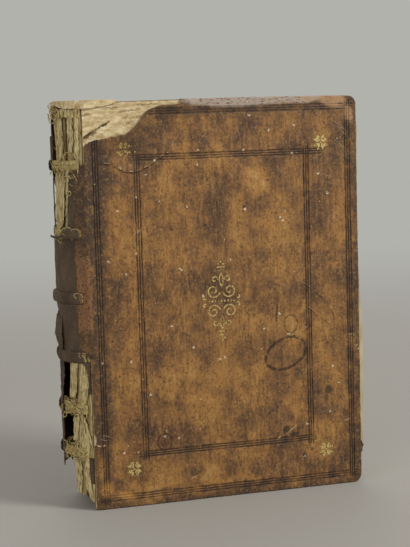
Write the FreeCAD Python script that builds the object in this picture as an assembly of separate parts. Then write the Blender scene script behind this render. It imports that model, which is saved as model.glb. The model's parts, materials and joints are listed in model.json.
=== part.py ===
import FreeCAD, Part
import math
import os

from FreeCAD import Vector

# An old calf binding standing on its tail. Millimetres.
# While it is built, x runs from the front board's spine edge (0) to the fore edge,
# y from the front cover's face (0) to the back cover's face, and z from tail (0) to head.
# At the end everything moves so that the origin is under the middle of the book.

# Whole book
book_height = 330.0
book_thickness = 66.0
cover_width = 233.0             # spine edge to fore edge of a covered board

# Covers
leather_thickness = 1.0
board_thickness = 4.0           # pasteboard
turn_in_thickness = 0.5         # leather pared thin where it turns over the board's inside
turn_in_width = 16.0
pastedown_thickness = 0.3
pastedown_gap = 0.5             # between the pastedown's edge and the leather turned in
fore_corner_radius = 7.0        # covers are knocked round at the fore edge
leather_edge_round = 1.0

# Joint between a cover and the text block
joint_gap = 0.6                 # board's spine edge to the shoulder of the text block
page_clearance = 0.3            # closed cover to the first leaf

# Text block
head_square = 1.5               # how far the covers stand past the leaves at the head
tail_square = 4.0
fore_square = 4.0
fore_edge_hollow = 7.0          # depth of the hollow fore edge
spine_round = 15.5              # how far the spine stands out past the shoulders
shoulder_inset = 2.4            # shoulder of the text block below a cover's outer face
gathering_count = 9
gathering_valley = 1.3          # depth of the valley between two folded gatherings
endleaf_thickness = 0.4
endleaf_inset = 20.0            # where the proud endleaf starts, from the spine edge

# Sewing supports, double cords
cord_radius = 2.1
cord_spacing = 3.6
cord_rise = 3.0                 # how far a support stands out of the folds
cord_seat = 0.05                # support to the crests of the folds
cord_sides = 5                  # flats round the outside of a cord
spine_end_clearance = 1.0       # end of a support below a cover's outer face
tail_panel = 47.0               # tail to the lowest support
head_panel = 49.5               # head to the highest support
support_steps = (36.0, 43.0, 48.0, 52.0, 54.5)   # shares of the room between them, from the tail

# Ends of the supports laced into the boards
slip_width = 5.0
slip_depth = 1.2
slip_reach = 14.0               # from the board's spine edge to the middle of the lacing hole
slip_tail = 2.4                 # cord that lies on past the middle of the hole
lacing_hole_radius = 1.0        # the cord is drawn thin where it goes through the board
slip_clearance = 0.1

# Spine leather and lining
leather_lift = 0.1              # spine leather over the folds and the supports
lining_thickness = 0.4
front_flap_reach = 13.0         # torn flap of the front leather, how far round the spine

# Blind tooling, lines run in threes
line_width = 0.7
line_depth = 0.35
line_pitch = 2.0
line_overrun = 3.0
head_lines_run_on = 12.0        # inner frame's head lines run on towards the fore edge
outer_frame_inset = 8.7
inner_frame_from_spine = 42.6
inner_frame_from_fore_edge = 45.7
inner_frame_from_head = 45.0
inner_frame_from_tail = 43.0

# Gilt tooling
gold_depth = 0.2
ornament_from_spine = 110.9     # middle of the centre ornament
ornament_from_tail = 165.0
gold_line = 0.9                 # width of a gilt line
scroll_eye = 1.4                # radius at which a scroll ends
scroll_steps = 18               # straight runs in one turn of a scroll
leaf_steps = 6                  # straight runs in one side of a leaf
bead_sides = 8
bead_radius = 0.75
bead_pitch = 2.7
bead_count = 9
main_scroll_radius = 6.4
main_scroll_offset = (7.0, 8.6)
upper_scroll_radius = 3.2
upper_scroll_offset = (5.6, 18.0)
side_scroll_radius = 2.0
side_scroll_offset = (14.4, 3.3)
main_scroll_turns = 1.4
upper_scroll_turns = -0.9       # winds the other way
side_scroll_turns = 0.6
main_scroll_start = -165        # degrees
upper_scroll_start = 190
side_scroll_start = -130
bud_low = 11.5
bud_high = 24.0
bud_half_width = 2.0
bud_wall = 0.65                 # gold at the side of the bud
bud_tip = 1.8                   # gold at its ends
finial_high = 33.0
finial_bars = ((25.2, 2.4), (28.0, 3.4))         # height and half length of each bar
finial_side_bead_drop = 2.25
corner_ornament_size = 12.5
corner_ornament_from_sides = 32.4                # middle of a corner ornament
corner_ornament_from_head = 38.0
corner_ornament_from_tail = 31.5
corner_petal_count = 4
corner_petal_turn = 45          # degrees, first petal from upright
# half of a notched petal, as shares of half the ornament: across, along
petal_outline = ((0, 0.2), (0.28, 0.4), (0.42, 0.7), (0.38, 1.0), (0, 0.78))

# Torn corner of the front leather
bared_head_length = 81.4        # length of head edge with no leather
# the tear: share of that length from the spine edge, distance below the head
torn_corner = (
    (-0.049, 47.0), (-0.022, 38.5), (0.015, 34.0), (0.07, 30.8), (0.177, 29.6), (0.311, 27.6), (0.439, 25.5),
    (0.504, 21.4), (0.587, 14.5), (0.652, 8.3), (0.709, 6.3), (0.791, 4.7), (0.983, 4.4),
)
split_line = ((-1.0, 28.4), (10.0, 22.2), (22.5, 15.4))   # crack in the bared pasteboard
split_width = 1.3
split_depth = 1.5
board_corner_wear = 3.0

# Bay torn into the front leather's spine edge near the tail: into the cover, height
joint_bay = ((-1.0, 67.0), (0.6, 63.5), (2.4, 59.0), (1.6, 55.0), (-1.0, 52.0))

# Worn tail of the text block at the spine: distance from the spine edge, height
worn_tail = (
    (-25.0, -1.0), (-25.0, 21.0), (-15.8, 15.0), (-12.0, 16.5), (-9.0, 11.0),
    (-6.5, 12.0), (-3.0, 7.5), (0.5, 8.2), (3.0, -1.0),
)

# Endleaf that stands proud at the fore edge: how far past the cover, share of the book's height
proud_endleaf = (
    (-2.0, 0.036), (2.0, 0.067), (4.2, 0.152), (5.0, 0.273), (4.8, 0.424),
    (2.6, 0.53), (2.2, 0.727), (2.8, 0.879), (1.6, 0.945), (-3.0, 0.976),
)

# Torn edges of what is left on the spine. A level counts the supports from the tail up, and
# 2.4 is four tenths of the way from the second to the third; 0 is the tail, 7 the leaves' head.
# Spine leather: distance from the front cover's face, level
spine_leather_edge = (
    (3.0, 2.302), (4.5, 2.209), (5.0, 2.372), (3.6, 2.674), (4.0, 2.837), (14.0, 2.884), (27.0, 2.86),
    (32.0, 2.953), (29.0, 3.188), (33.0, 3.417), (30.0, 3.75), (38.0, 3.875), (48.0, 3.938),
    (50.0, 4.096), (46.0, 4.269), (51.0, 4.731), (46.0, 4.942), (front_flap_reach + 4.0, 4.962),
    (front_flap_reach, 5.073), (front_flap_reach - 1.0, 5.596), (front_flap_reach, 5.853),
    (7.0, 5.908), (5.0, 5.798),
)
# Strip on the rear shoulder: distance from the back cover's face, level
rear_leather_edge = (
    (21.0, 0.702), (24.0, 0.957), (22.0, 1.417), (25.0, 2.023), (21.0, 2.395), (23.0, 2.814), (27.0, 3.25),
    (22.0, 3.667), (12.0, 3.792), (11.0, 5.0), (14.0, 5.633), (21.0, 5.853), (30.0, 6.083),
    (32.0, 6.292), (28.0, 6.625), (30.0, 6.875), (19.0, 7.0),
)
# Scrap at the tail of the front joint, and linings in the first and the last panel:
# distance from the front cover's face, share of the room in that panel
tail_scrap_edge = ((4.5, 0.05), (6.5, 0.39), (7.5, 0.85), (5.5, 1.0))
tail_lining_edge = (
    (13.0, 0.035), (16.0, 0.28), (12.0, 0.46), (13.0, 0.86), (9.0, 0.965), (7.0, 0.79), (4.0, 0.53), (3.0, 0.35),
)
head_lining_edge = (
    (5.0, 0.0), (8.0, 0.09), (7.0, 0.3), (9.5, 0.42), (8.5, 0.7), (10.5, 0.86), (8.0, 1.0), (4.0, 0.97),
)
head_lining_gap = 5.0           # head of the leaves to the lining in the last panel
trim_overrun = 5.0              # how far an outline runs past the piece that it trims

# What follows from the sizes above
middle_y = book_thickness / 2
board_outer_y = leather_thickness
board_inner_y = leather_thickness + board_thickness
cover_thickness = board_inner_y + turn_in_thickness
block_front_y = cover_thickness + page_clearance
block_low = tail_square
block_high = book_height - head_square
block_fore_x = cover_width - fore_square
shoulder_half = middle_y - shoulder_inset
fold_radius = (shoulder_half ** 2 + spine_round ** 2) / (2 * spine_round)
spine_x = fold_radius - joint_gap - spine_round
spine_angle = math.degrees(math.asin(shoulder_half / fold_radius))
cord_top = fold_radius + cord_rise
band_top = cord_top + leather_lift + leather_thickness
support_angle = math.degrees(math.asin((middle_y - spine_end_clearance) / band_top)) - 1.0
spine_centre = Vector(spine_x, middle_y, 0)
spine_reach = band_top - spine_x
endleaf_reach = cover_width + max(proud for proud, share in proud_endleaf)
middle_x = (endleaf_reach - spine_reach) / 2


def support_heights():
    room = book_height - head_panel - tail_panel
    heights = [tail_panel]
    for step in support_steps:
        heights.append(heights[-1] + room * step / sum(support_steps))
    return heights


def level_height(level):
    # height of a level counted in supports
    marks = [0.0] + support_heights() + [block_high]
    number = min(int(level), len(marks) - 2)
    return marks[number] + (marks[number + 1] - marks[number]) * (level - number)


def polygon_face(corners):
    return Part.Face(Part.makePolygon(corners + [corners[0]]))


def slab_through_cover(outline, start_y, depth):
    # outline points are x and z
    corners = [Vector(x, start_y, z) for x, z in outline]
    return polygon_face(corners).extrude(Vector(0, depth, 0))


def slab_through_spine(outline, start_x, depth):
    # outline points are y and z
    corners = [Vector(start_x, y, z) for y, z in outline]
    return polygon_face(corners).extrude(Vector(depth, 0, 0))


def curved_slab(line, corners, start_y, depth):
    # a slab whose edge is a smooth curve through line, closed by straight runs over corners
    points = [Vector(x, start_y, z) for x, z in line]
    curve = Part.BSplineCurve()
    curve.interpolate(points)
    ends = [points[-1]] + [Vector(x, start_y, z) for x, z in corners] + [points[0]]
    edges = [curve.toShape()]
    for begin, end in zip(ends[:-1], ends[1:]):
        edges.append(Part.makeLine(begin, end))
    return Part.Face(Part.Wire(edges)).extrude(Vector(0, depth, 0))


def around_spine(face, front_angle, rear_angle):
    # turns a face that stands at the middle of the spine from the front to the rear shoulder
    start = face.copy()
    start.rotate(spine_centre, Vector(0, 0, 1), front_angle)
    return start.revolve(spine_centre, Vector(0, 0, -1), front_angle + rear_angle)


def spine_point(radius, angle, height):
    turn = math.radians(angle)
    return Vector(spine_x - radius * math.cos(turn), middle_y + radius * math.sin(turn), height)


def spine_sheet(lift, thickness, low, high, front_angle, rear_angle):
    # a sheet of even thickness that lies round the folds
    inner = spine_point(fold_radius + lift, 0, low)
    corners = [
        inner,
        inner + Vector(-thickness, 0, 0),
        inner + Vector(-thickness, 0, high - low),
        inner + Vector(0, 0, high - low),
    ]
    return around_spine(polygon_face(corners), front_angle, rear_angle)


# Covers

def cover_form():
    # outside of the leather that wraps a board
    form = Part.makeBox(cover_width, cover_thickness, book_height)
    corners = []
    for edge in form.Edges:
        box = edge.BoundBox
        if box.YLength > cover_thickness / 2 and box.XMin > cover_width / 2:
            corners.append(edge)
    form = form.makeFillet(fore_corner_radius, corners)
    rim = []
    for edge in form.Edges:
        box = edge.BoundBox
        if box.YMax < board_outer_y / 2 and box.XMax > cover_width / 2:
            rim.append(edge)
    return form.makeFillet(leather_edge_round, rim)


def board_form():
    board = Part.makeBox(
        cover_width - leather_thickness,
        board_thickness,
        book_height - 2 * leather_thickness,
        Vector(0, board_outer_y, leather_thickness),
    )
    corners = []
    for edge in board.Edges:
        box = edge.BoundBox
        if box.YLength > board_thickness / 2 and box.XMin > cover_width / 2:
            corners.append(edge)
    return board.makeFillet(fore_corner_radius - leather_thickness, corners)


def pastedown_window(margin, thickness):
    # the part of the board's inside that the leather leaves free
    low = turn_in_width + margin
    return Part.makeBox(
        cover_width - turn_in_width - margin,
        thickness,
        book_height - 2 * low,
        Vector(0, board_inner_y, low),
    )


def frame_lines(left, right, low, high, head_run_on):
    # three nested rectangles of pressed lines, each line run on past its corners
    lines = []
    for step in (-line_pitch, 0.0, line_pitch):
        run = line_overrun + line_width
        for x in (left + step, right - step):
            corner = Vector(x - line_width / 2, 0, low + step - run)
            length = high - low - 2 * step + 2 * run
            lines.append(Part.makeBox(line_width, line_depth, length, corner))
        for z, run_on in ((low + step, 0.0), (high - step, head_run_on)):
            corner = Vector(left + step - run, 0, z - line_width / 2)
            length = right - left - 2 * step + 2 * run + run_on
            lines.append(Part.makeBox(length, line_depth, line_width, corner))
    return lines


def blind_tooling():
    outer = frame_lines(
        outer_frame_inset,
        cover_width - outer_frame_inset,
        outer_frame_inset,
        book_height - outer_frame_inset,
        0.0,
    )
    inner = frame_lines(
        inner_frame_from_spine,
        cover_width - inner_frame_from_fore_edge,
        inner_frame_from_tail,
        book_height - inner_frame_from_head,
        head_lines_run_on,
    )
    return outer + inner


def whole_cover_leather():
    leather = cover_form().cut([board_form(), pastedown_window(0.0, cover_thickness)])
    return leather.cut(blind_tooling())


def torn_corner_slab():
    line = [(share * bared_head_length, book_height - drop) for share, drop in torn_corner]
    beyond = book_height + leather_thickness
    corners = [
        (bared_head_length, line[-1][1]),
        (bared_head_length, beyond),
        (-2 * leather_thickness, beyond),
    ]
    return curved_slab(line, corners, -leather_thickness, cover_thickness + 2 * leather_thickness)


def front_cover_leather(gold):
    leather = whole_cover_leather()
    bay = slab_through_cover(joint_bay, -leather_thickness, 2 * leather_thickness)
    return leather.cut([torn_corner_slab(), bay] + gold)


def slip(height, clearance):
    # frayed and flattened cord end: it lies in a bed in the board's face, then goes through a hole
    half = slip_width / 2 + clearance
    deep = board_outer_y + slip_depth + clearance
    corners = [
        Vector(-clearance, board_outer_y, height - half),
        Vector(-clearance, board_outer_y, height + half),
        Vector(-clearance, deep, height + half - slip_depth),
        Vector(-clearance, deep, height - half + slip_depth),
    ]
    length = slip_reach + slip_tail + 2 * clearance
    lying = polygon_face(corners).extrude(Vector(length, 0, 0))
    top = Vector(slip_reach, board_outer_y + slip_depth / 2, height)
    through = Part.makeCylinder(lacing_hole_radius + clearance, board_inner_y - top.y, top, Vector(0, 1, 0))
    return lying.fuse(through)


def laced_board():
    beds = [slip(height, slip_clearance) for height in support_heights()]
    return board_form().cut(beds)


def front_board():
    split = []
    for x, drop in split_line:
        split.append((x, book_height - drop - split_width / 2))
    for x, drop in reversed(split_line):
        split.append((x, book_height - drop + split_width / 2))
    crack = slab_through_cover(split, board_outer_y, split_depth)
    top = book_height - leather_thickness
    worn = [(0, top), (board_corner_wear, top), (0, top - board_corner_wear)]
    corner = slab_through_cover(worn, board_outer_y, board_thickness)
    return laced_board().cut([crack, corner])


def pastedown():
    return pastedown_window(pastedown_gap, pastedown_thickness)


def as_back(shape):
    # the back cover is the front one mirrored through the middle of the book
    return shape.mirror(Vector(0, middle_y, 0), Vector(0, 1, 0))


# Gilt tooling: figures are drawn about their own middle and pressed into the leather

def gold_figure(face, x, z):
    face.translate(Vector(x, 0, z))
    return face.extrude(Vector(0, gold_depth, 0))


def gold_bar(half_length, height):
    half = gold_line / 2
    corners = [
        Vector(-half_length, 0, height - half),
        Vector(half_length, 0, height - half),
        Vector(half_length, 0, height + half),
        Vector(-half_length, 0, height + half),
    ]
    return polygon_face(corners)


def gold_bead(x, z, radius):
    corners = []
    for number in range(bead_sides):
        turn = 2 * math.pi * (number + 0.5) / bead_sides
        corners.append(Vector(x + radius * math.cos(turn), 0, z + radius * math.sin(turn)))
    return polygon_face(corners)


def scroll(radius, centre, turns, start, side):
    # a line that winds inwards to its eye; side 1 is its right hand copy, -1 its left hand one
    steps = round(scroll_steps * abs(turns))
    outer = []
    inner = []
    for step in range(steps + 1):
        share = step / steps
        turn = math.radians(start + 360 * turns * share)
        reach = radius + (scroll_eye - radius) * share
        direction = Vector(side * math.cos(turn), 0, math.sin(turn))
        middle = Vector(side * centre[0], 0, centre[1])
        outer.append(middle + direction * reach)
        inner.append(middle + direction * (reach - gold_line))
    return polygon_face(outer + inner[::-1])


def leaf_face(centre_z, half_width, half_height):
    # a pointed leaf, upright
    side = []
    for step in range(leaf_steps):
        share = step / leaf_steps
        side.append((half_width * math.sin(math.pi * share), half_height * (2 * share - 1)))
    right = [Vector(x, 0, centre_z + z) for x, z in side]
    left = [Vector(-x, 0, centre_z - z) for x, z in side]
    return polygon_face(right + left)


def bud():
    # a leaf shaped bud, open in the middle
    middle = (bud_low + bud_high) / 2
    half_height = (bud_high - bud_low) / 2
    opening = leaf_face(middle, bud_half_width - bud_wall, half_height - bud_tip)
    return leaf_face(middle, bud_half_width, half_height).cut(opening)


def half_ornament():
    figures = [bud()]
    for side in (-1, 1):
        figures.append(
            scroll(main_scroll_radius, main_scroll_offset, main_scroll_turns, main_scroll_start, side)
        )
        figures.append(
            scroll(upper_scroll_radius, upper_scroll_offset, upper_scroll_turns, upper_scroll_start, side)
        )
        figures.append(
            scroll(side_scroll_radius, side_scroll_offset, side_scroll_turns, side_scroll_start, side)
        )
        bead_x = side * bud_half_width
        figures.append(gold_bead(bead_x, finial_high - finial_side_bead_drop, bead_radius))
    for height, half_length in finial_bars:
        figures.append(gold_bar(half_length, height))
    figures.append(gold_bead(0, finial_high - bead_radius, bead_radius))
    return figures


def centre_ornament():
    figures = []
    for figure in half_ornament():
        figures.append(figure)
        figures.append(figure.mirror(Vector(0, 0, 0), Vector(0, 0, 1)))
    for number in range(bead_count):
        x = (number - (bead_count - 1) / 2) * bead_pitch
        figures.append(gold_bead(x, 0, bead_radius))
    joined = figures[0].fuse(figures[1:]).removeSplitter()
    pressed = []
    for face in joined.Faces:
        pressed.append(gold_figure(face, ornament_from_spine, ornament_from_tail))
    return Part.makeCompound(pressed)


def corner_ornament(x, z):
    # four notched petals set diagonally about a bead
    petals = [gold_bead(0, 0, bead_radius)]
    reach = corner_ornament_size / 2
    for number in range(corner_petal_count):
        right = [Vector(reach * across, 0, reach * along) for across, along in petal_outline]
        left = [Vector(-reach * across, 0, reach * along) for across, along in petal_outline[-2:0:-1]]
        petal = polygon_face(right + left)
        turn = 360.0 * number / corner_petal_count + corner_petal_turn
        petal.rotate(Vector(0, 0, 0), Vector(0, 1, 0), turn)
        petals.append(petal)
    return Part.makeCompound([gold_figure(petal, x, z) for petal in petals])


def corner_ornament_places():
    near = corner_ornament_from_sides
    fore = cover_width - corner_ornament_from_sides
    high = book_height - corner_ornament_from_head
    low = corner_ornament_from_tail
    return {
        "head_spine": (near, high),
        "head_fore": (fore, high),
        "tail_spine": (near, low),
        "tail_fore": (fore, low),
    }


# Text block and what lies on its spine

def block_profile():
    # plan of the leaves: flat sides, hollow fore edge, rounded spine with one arc for each gathering
    edges = []
    front = block_front_y
    rear = book_thickness - block_front_y
    hollow = Vector(block_fore_x - fore_edge_hollow, middle_y, block_low)
    fore_front = Vector(block_fore_x, front, block_low)
    fore_rear = Vector(block_fore_x, rear, block_low)
    edges.append(Part.Arc(fore_rear, hollow, fore_front).toShape())
    shoulder_front = spine_point(fold_radius, -spine_angle, block_low)
    shoulder_rear = spine_point(fold_radius, spine_angle, block_low)
    step_front = Vector(shoulder_front.x, front, block_low)
    step_rear = Vector(shoulder_rear.x, rear, block_low)
    edges.append(Part.makeLine(fore_front, step_front))
    edges.append(Part.makeLine(step_front, shoulder_front))
    start = shoulder_front
    for number in range(gathering_count):
        middle_angle = spine_angle * (2 * (number + 0.5) / gathering_count - 1)
        end_angle = spine_angle * (2 * (number + 1) / gathering_count - 1)
        end = spine_point(fold_radius - gathering_valley, end_angle, block_low)
        if number == gathering_count - 1:
            end = shoulder_rear
        outermost = number in (0, gathering_count - 1)
        crest_radius = fold_radius - (gathering_valley / 3 if outermost else 0)
        crest = spine_point(crest_radius, middle_angle, block_low)
        edges.append(Part.Arc(start, crest, end).toShape())
        start = end
    edges.append(Part.makeLine(shoulder_rear, step_rear))
    edges.append(Part.makeLine(step_rear, fore_rear))
    return Part.Face(Part.Wire(edges))


def endleaf():
    # the first leaf stands proud of the worn cover at the fore edge
    line = [(cover_width + proud, book_height * share) for proud, share in proud_endleaf]
    corners = [(endleaf_inset, line[-1][1]), (endleaf_inset, line[0][1])]
    return curved_slab(line, corners, block_front_y, endleaf_thickness)


def text_block():
    leaves = block_profile().extrude(Vector(0, 0, block_high - block_low))
    worn = slab_through_cover(worn_tail, 0, book_thickness)
    return leaves.cut(worn).fuse(endleaf()).removeSplitter()


def cord_face(height, clearance):
    # two cords side by side, flattened on the folds, with a valley between them
    radius = cord_radius + clearance
    rest = fold_radius + cord_seat
    centre = cord_top - cord_radius
    half = cord_spacing / 2
    foot_angle = math.degrees(math.asin((centre - rest) / radius))
    valley_angle = math.degrees(math.acos(half / radius))
    first = -foot_angle
    last = 180 - valley_angle
    upper = []
    for step in range(cord_sides + 1):
        turn = math.radians(first + (last - first) * step / cord_sides)
        upper.append((centre + radius * math.sin(turn), half + radius * math.cos(turn)))
    lower = [(out, -up) for out, up in upper[-2::-1]]
    return polygon_face([spine_point(out, 0, height + up) for out, up in upper + lower])


def sewing_support(height):
    return around_spine(cord_face(height, 0.0), support_angle, support_angle)


def band_face(height):
    # leather over a support: a low ridge with slanted sides
    foot = cord_spacing / 2 + cord_radius + leather_thickness + leather_lift
    base = fold_radius + leather_lift
    middle = cord_top - cord_radius + leather_thickness
    profile = [(base, foot), (middle, foot), (band_top - leather_thickness / 2, foot - cord_radius / 2),
               (band_top, foot - 1.5 * cord_radius)]
    mirrored = [(out, -up) for out, up in profile[::-1]]
    return polygon_face([spine_point(out, 0, height + up) for out, up in profile + mirrored])


def leather_on_spine(outline):
    # leather pasted down over the folds and over the supports that it reaches
    low = min(z for y, z in outline)
    high = max(z for y, z in outline)
    covered = [height for height in support_heights() if low < height < high]
    leather = spine_sheet(leather_lift, leather_thickness, low, high, spine_angle, spine_angle)
    bands = [around_spine(band_face(height), support_angle, support_angle) for height in covered]
    hollows = []
    for height in covered:
        hollows.append(around_spine(cord_face(height, leather_lift), spine_angle, spine_angle))
    leather = leather.fuse(bands).cut(hollows)
    return leather.common(slab_through_spine(outline, -spine_reach - 1, 2 * spine_reach))


def cord_foot():
    # half the height that a support takes on the folds
    return cord_spacing / 2 + cord_radius


def spine_leather():
    edge = [(y, level_height(level)) for y, level in spine_leather_edge]
    return leather_on_spine([(-trim_overrun, edge[0][1])] + edge + [(-trim_overrun, edge[-1][1])])


def rear_joint_leather():
    # ragged strip left on the rear shoulder, widest near the head
    edge = [(book_thickness - reach, level_height(level)) for reach, level in rear_leather_edge]
    beyond = book_thickness + trim_overrun
    return leather_on_spine([(beyond, edge[0][1])] + edge + [(beyond, edge[-1][1])])


def tail_joint_leather():
    # small scrap that still turns round the joint under the torn bay
    low = worn_tail[1][1]
    high = support_heights()[0] - cord_foot()
    edge = [(y, low + (high - low) * share) for y, share in tail_scrap_edge]
    return leather_on_spine([(-trim_overrun, low)] + edge + [(-trim_overrun, high)])


def lining_remnant(low, high, edge):
    # torn piece of the paper that lined the spine
    sheet = spine_sheet(cord_seat, lining_thickness, low, high, spine_angle, spine_angle)
    outline = [(y, low + (high - low) * share) for y, share in edge]
    outline = [(-trim_overrun, outline[0][1])] + outline + [(-trim_overrun, outline[-1][1])]
    return sheet.common(slab_through_spine(outline, -spine_reach - 1, 2 * spine_reach))


def build_nodes():
    nodes = {}
    gold = {"gilt_centre_ornament": centre_ornament()}
    for place, (x, z) in corner_ornament_places().items():
        gold["gilt_ornament_" + place] = corner_ornament(x, z)
    nodes.update(gold)
    nodes["text_block"] = text_block()
    nodes["front_cover_leather"] = front_cover_leather(list(gold.values()))
    nodes["back_cover_leather"] = as_back(whole_cover_leather())
    nodes["front_board"] = front_board()
    nodes["back_board"] = as_back(laced_board())
    nodes["front_pastedown"] = pastedown()
    nodes["back_pastedown"] = as_back(pastedown())
    heights = support_heights()
    for number, height in enumerate(heights, start=1):
        nodes["sewing_support_%d" % number] = sewing_support(height)
        nodes["front_slip_%d" % number] = slip(height, 0.0)
        nodes["back_slip_%d" % number] = as_back(slip(height, 0.0))
    nodes["spine_leather"] = spine_leather()
    nodes["tail_joint_leather"] = tail_joint_leather()
    nodes["rear_joint_leather"] = rear_joint_leather()
    nodes["spine_lining_remnant"] = lining_remnant(
        heights[0] + cord_foot(), heights[1] - cord_foot(), tail_lining_edge
    )
    nodes["head_lining_remnant"] = lining_remnant(
        heights[-1] + cord_foot(), block_high - head_lining_gap, head_lining_edge
    )
    return nodes


os.makedirs("parts", exist_ok=True)
for name, shape in build_nodes().items():
    shape.translate(Vector(-middle_x, -middle_y, 0))
    shape.exportStep("parts/" + name + ".step")
    print(name, "solids", len(shape.Solids), "volume", round(shape.Volume, 1), "valid", shape.isValid())
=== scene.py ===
import json
import math
import random

import bpy
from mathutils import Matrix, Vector, noise

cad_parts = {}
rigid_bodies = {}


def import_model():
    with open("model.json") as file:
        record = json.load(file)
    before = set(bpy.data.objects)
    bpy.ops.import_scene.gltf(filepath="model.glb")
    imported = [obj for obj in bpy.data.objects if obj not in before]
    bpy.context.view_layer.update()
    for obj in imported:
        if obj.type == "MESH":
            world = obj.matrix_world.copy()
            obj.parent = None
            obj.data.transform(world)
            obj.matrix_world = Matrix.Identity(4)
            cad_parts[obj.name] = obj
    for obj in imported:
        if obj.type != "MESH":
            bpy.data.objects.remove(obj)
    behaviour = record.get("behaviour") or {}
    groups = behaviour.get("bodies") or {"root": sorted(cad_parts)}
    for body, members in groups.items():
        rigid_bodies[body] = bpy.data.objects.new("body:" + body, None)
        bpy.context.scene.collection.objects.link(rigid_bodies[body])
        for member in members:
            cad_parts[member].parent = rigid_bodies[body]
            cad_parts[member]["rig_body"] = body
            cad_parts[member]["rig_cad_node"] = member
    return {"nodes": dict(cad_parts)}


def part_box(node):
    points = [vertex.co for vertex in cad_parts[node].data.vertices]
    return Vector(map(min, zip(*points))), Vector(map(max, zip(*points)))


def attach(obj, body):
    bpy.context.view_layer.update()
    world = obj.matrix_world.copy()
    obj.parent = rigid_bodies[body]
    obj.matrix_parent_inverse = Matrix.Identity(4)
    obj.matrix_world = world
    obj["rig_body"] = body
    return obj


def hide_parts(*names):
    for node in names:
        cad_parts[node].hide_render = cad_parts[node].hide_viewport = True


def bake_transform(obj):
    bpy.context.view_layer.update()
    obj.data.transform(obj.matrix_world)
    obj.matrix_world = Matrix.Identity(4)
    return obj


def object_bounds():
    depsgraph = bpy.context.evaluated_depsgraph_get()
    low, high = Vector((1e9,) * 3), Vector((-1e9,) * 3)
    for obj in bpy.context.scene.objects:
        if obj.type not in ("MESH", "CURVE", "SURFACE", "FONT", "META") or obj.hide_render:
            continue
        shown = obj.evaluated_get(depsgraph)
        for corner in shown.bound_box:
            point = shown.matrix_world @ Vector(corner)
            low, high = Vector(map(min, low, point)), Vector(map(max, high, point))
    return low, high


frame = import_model()
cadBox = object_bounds()

# An old calf binding that stands on its tail. Places given here are in bench millimetres:
# x from the front cover's spine edge, y from its face to the back, z up from the tail.
mm = 0.001
coverLow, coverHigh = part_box("front_cover_leather")
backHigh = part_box("back_cover_leather")[1]
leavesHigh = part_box("text_block")[1]
coverWidth = (coverHigh.x - coverLow.x) / mm
bookHeight = (coverHigh.z - coverLow.z) / mm
bookDepth = (backHigh.y - coverLow.y) / mm
supportHeights = []
for number in range(1, 7):
    low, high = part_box("sewing_support_%d" % number)
    supportHeights.append((low.z + high.z) / 2 / mm)


def fromBench(x, y, z):
    return Vector((coverLow.x + x * mm, coverLow.y + y * mm, z * mm))


def toBench(point):
    return Vector(((point.x - coverLow.x) / mm, (point.y - coverLow.y) / mm, point.z / mm))


def ramp(value, start, end):
    # eases from 0 at start to 1 at end, which may lie below it
    share = min(1, max(0, (value - start) / (end - start)))
    return share * share * (3 - 2 * share)


def wavy(x, y, z, size):
    # smooth noise from about -1 to 1, with bumps of that size in millimetres
    return noise.noise(Vector((x, y, z)) / size)


# Colours and nodes

def colour(text):
    # sRGB hex to linear
    parts = []
    for start in (1, 3, 5):
        value = int(text[start:start + 2], 16) / 255
        parts.append(value / 12.92 if value <= 0.04045 else ((value + 0.055) / 1.055) ** 2.4)
    return (parts[0], parts[1], parts[2], 1.0)


def addNode(tree, kind, settings=None, links=None):
    # one node, its settings and what feeds it; a link from a node takes its first output
    node = tree.nodes.new("ShaderNode" + kind)
    for name, value in (settings or {}).items():
        if name == "stops":
            while len(node.color_ramp.elements) < len(value):
                node.color_ramp.elements.new(0.5)
            for element, (position, text) in zip(node.color_ramp.elements, value):
                element.position = position
                element.color = colour(text)
        elif isinstance(name, str) and hasattr(node, name):
            setattr(node, name, value)
        else:
            node.inputs[name].default_value = value
    for name, source in (links or {}).items():
        socket = source.outputs[0] if isinstance(source, bpy.types.Node) else source
        tree.links.new(socket, node.inputs[name])
    return node


def startMaterial(name):
    # an empty material whose places are bench millimetres
    material = bpy.data.materials.new(name)
    material.use_nodes = True
    tree = material.node_tree
    tree.nodes.clear()
    spot = addNode(tree, "TexCoord")
    place = addNode(tree, "Mapping", {
        "Location": (-coverLow.x / mm, -coverLow.y / mm, 0),
        "Scale": (1 / mm, 1 / mm, 1 / mm),
    }, {"Vector": spot.outputs["Object"]})
    return material, tree, place


def mottle(tree, place, size, detail=4, stretch=(1, 1, 1), roughness=0.6):
    # uneven tone with spots of that size in millimetres, longer where stretch is above 1
    drawn = addNode(tree, "Mapping", {"vector_type": "TEXTURE", "Scale": stretch}, {"Vector": place})
    return addNode(tree, "TexNoise", {"Scale": 1 / size, "Detail": detail, "Roughness": roughness},
                   {"Vector": drawn})


def stain(tree, base, field, start, end, tint, amount):
    # a tint over what is there, where the field passes from start to end
    share = addNode(tree, "MapRange", {
        "interpolation_type": "SMOOTHSTEP", "From Min": start, "From Max": end, "To Max": amount,
    }, {"Value": field})
    return addNode(tree, "MixRGB", {"Color2": colour(tint)}, {"Fac": share, "Color1": base})


def offBy(tree, value, at):
    # how far a value is from a place, to either side
    off = addNode(tree, "Math", {"operation": "SUBTRACT", 1: at}, {0: value})
    return addNode(tree, "Math", {"operation": "ABSOLUTE"}, {0: off})


def jittered(tree, place, size, reach, detail=4):
    # x and z of a place, thrown off by up to half that reach, for marks with an uneven edge
    thrown = addNode(tree, "VectorMath", {
        "operation": "MULTIPLY_ADD", 1: (reach, reach, reach), 2: (-reach / 2, -reach / 2, -reach / 2),
    }, {0: mottle(tree, place, size, detail).outputs["Color"]})
    moved = addNode(tree, "VectorMath", {"operation": "ADD"}, {0: thrown, 1: place})
    return addNode(tree, "VectorMath", {"operation": "MULTIPLY", 1: (1, 0, 1)}, {0: moved})


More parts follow.
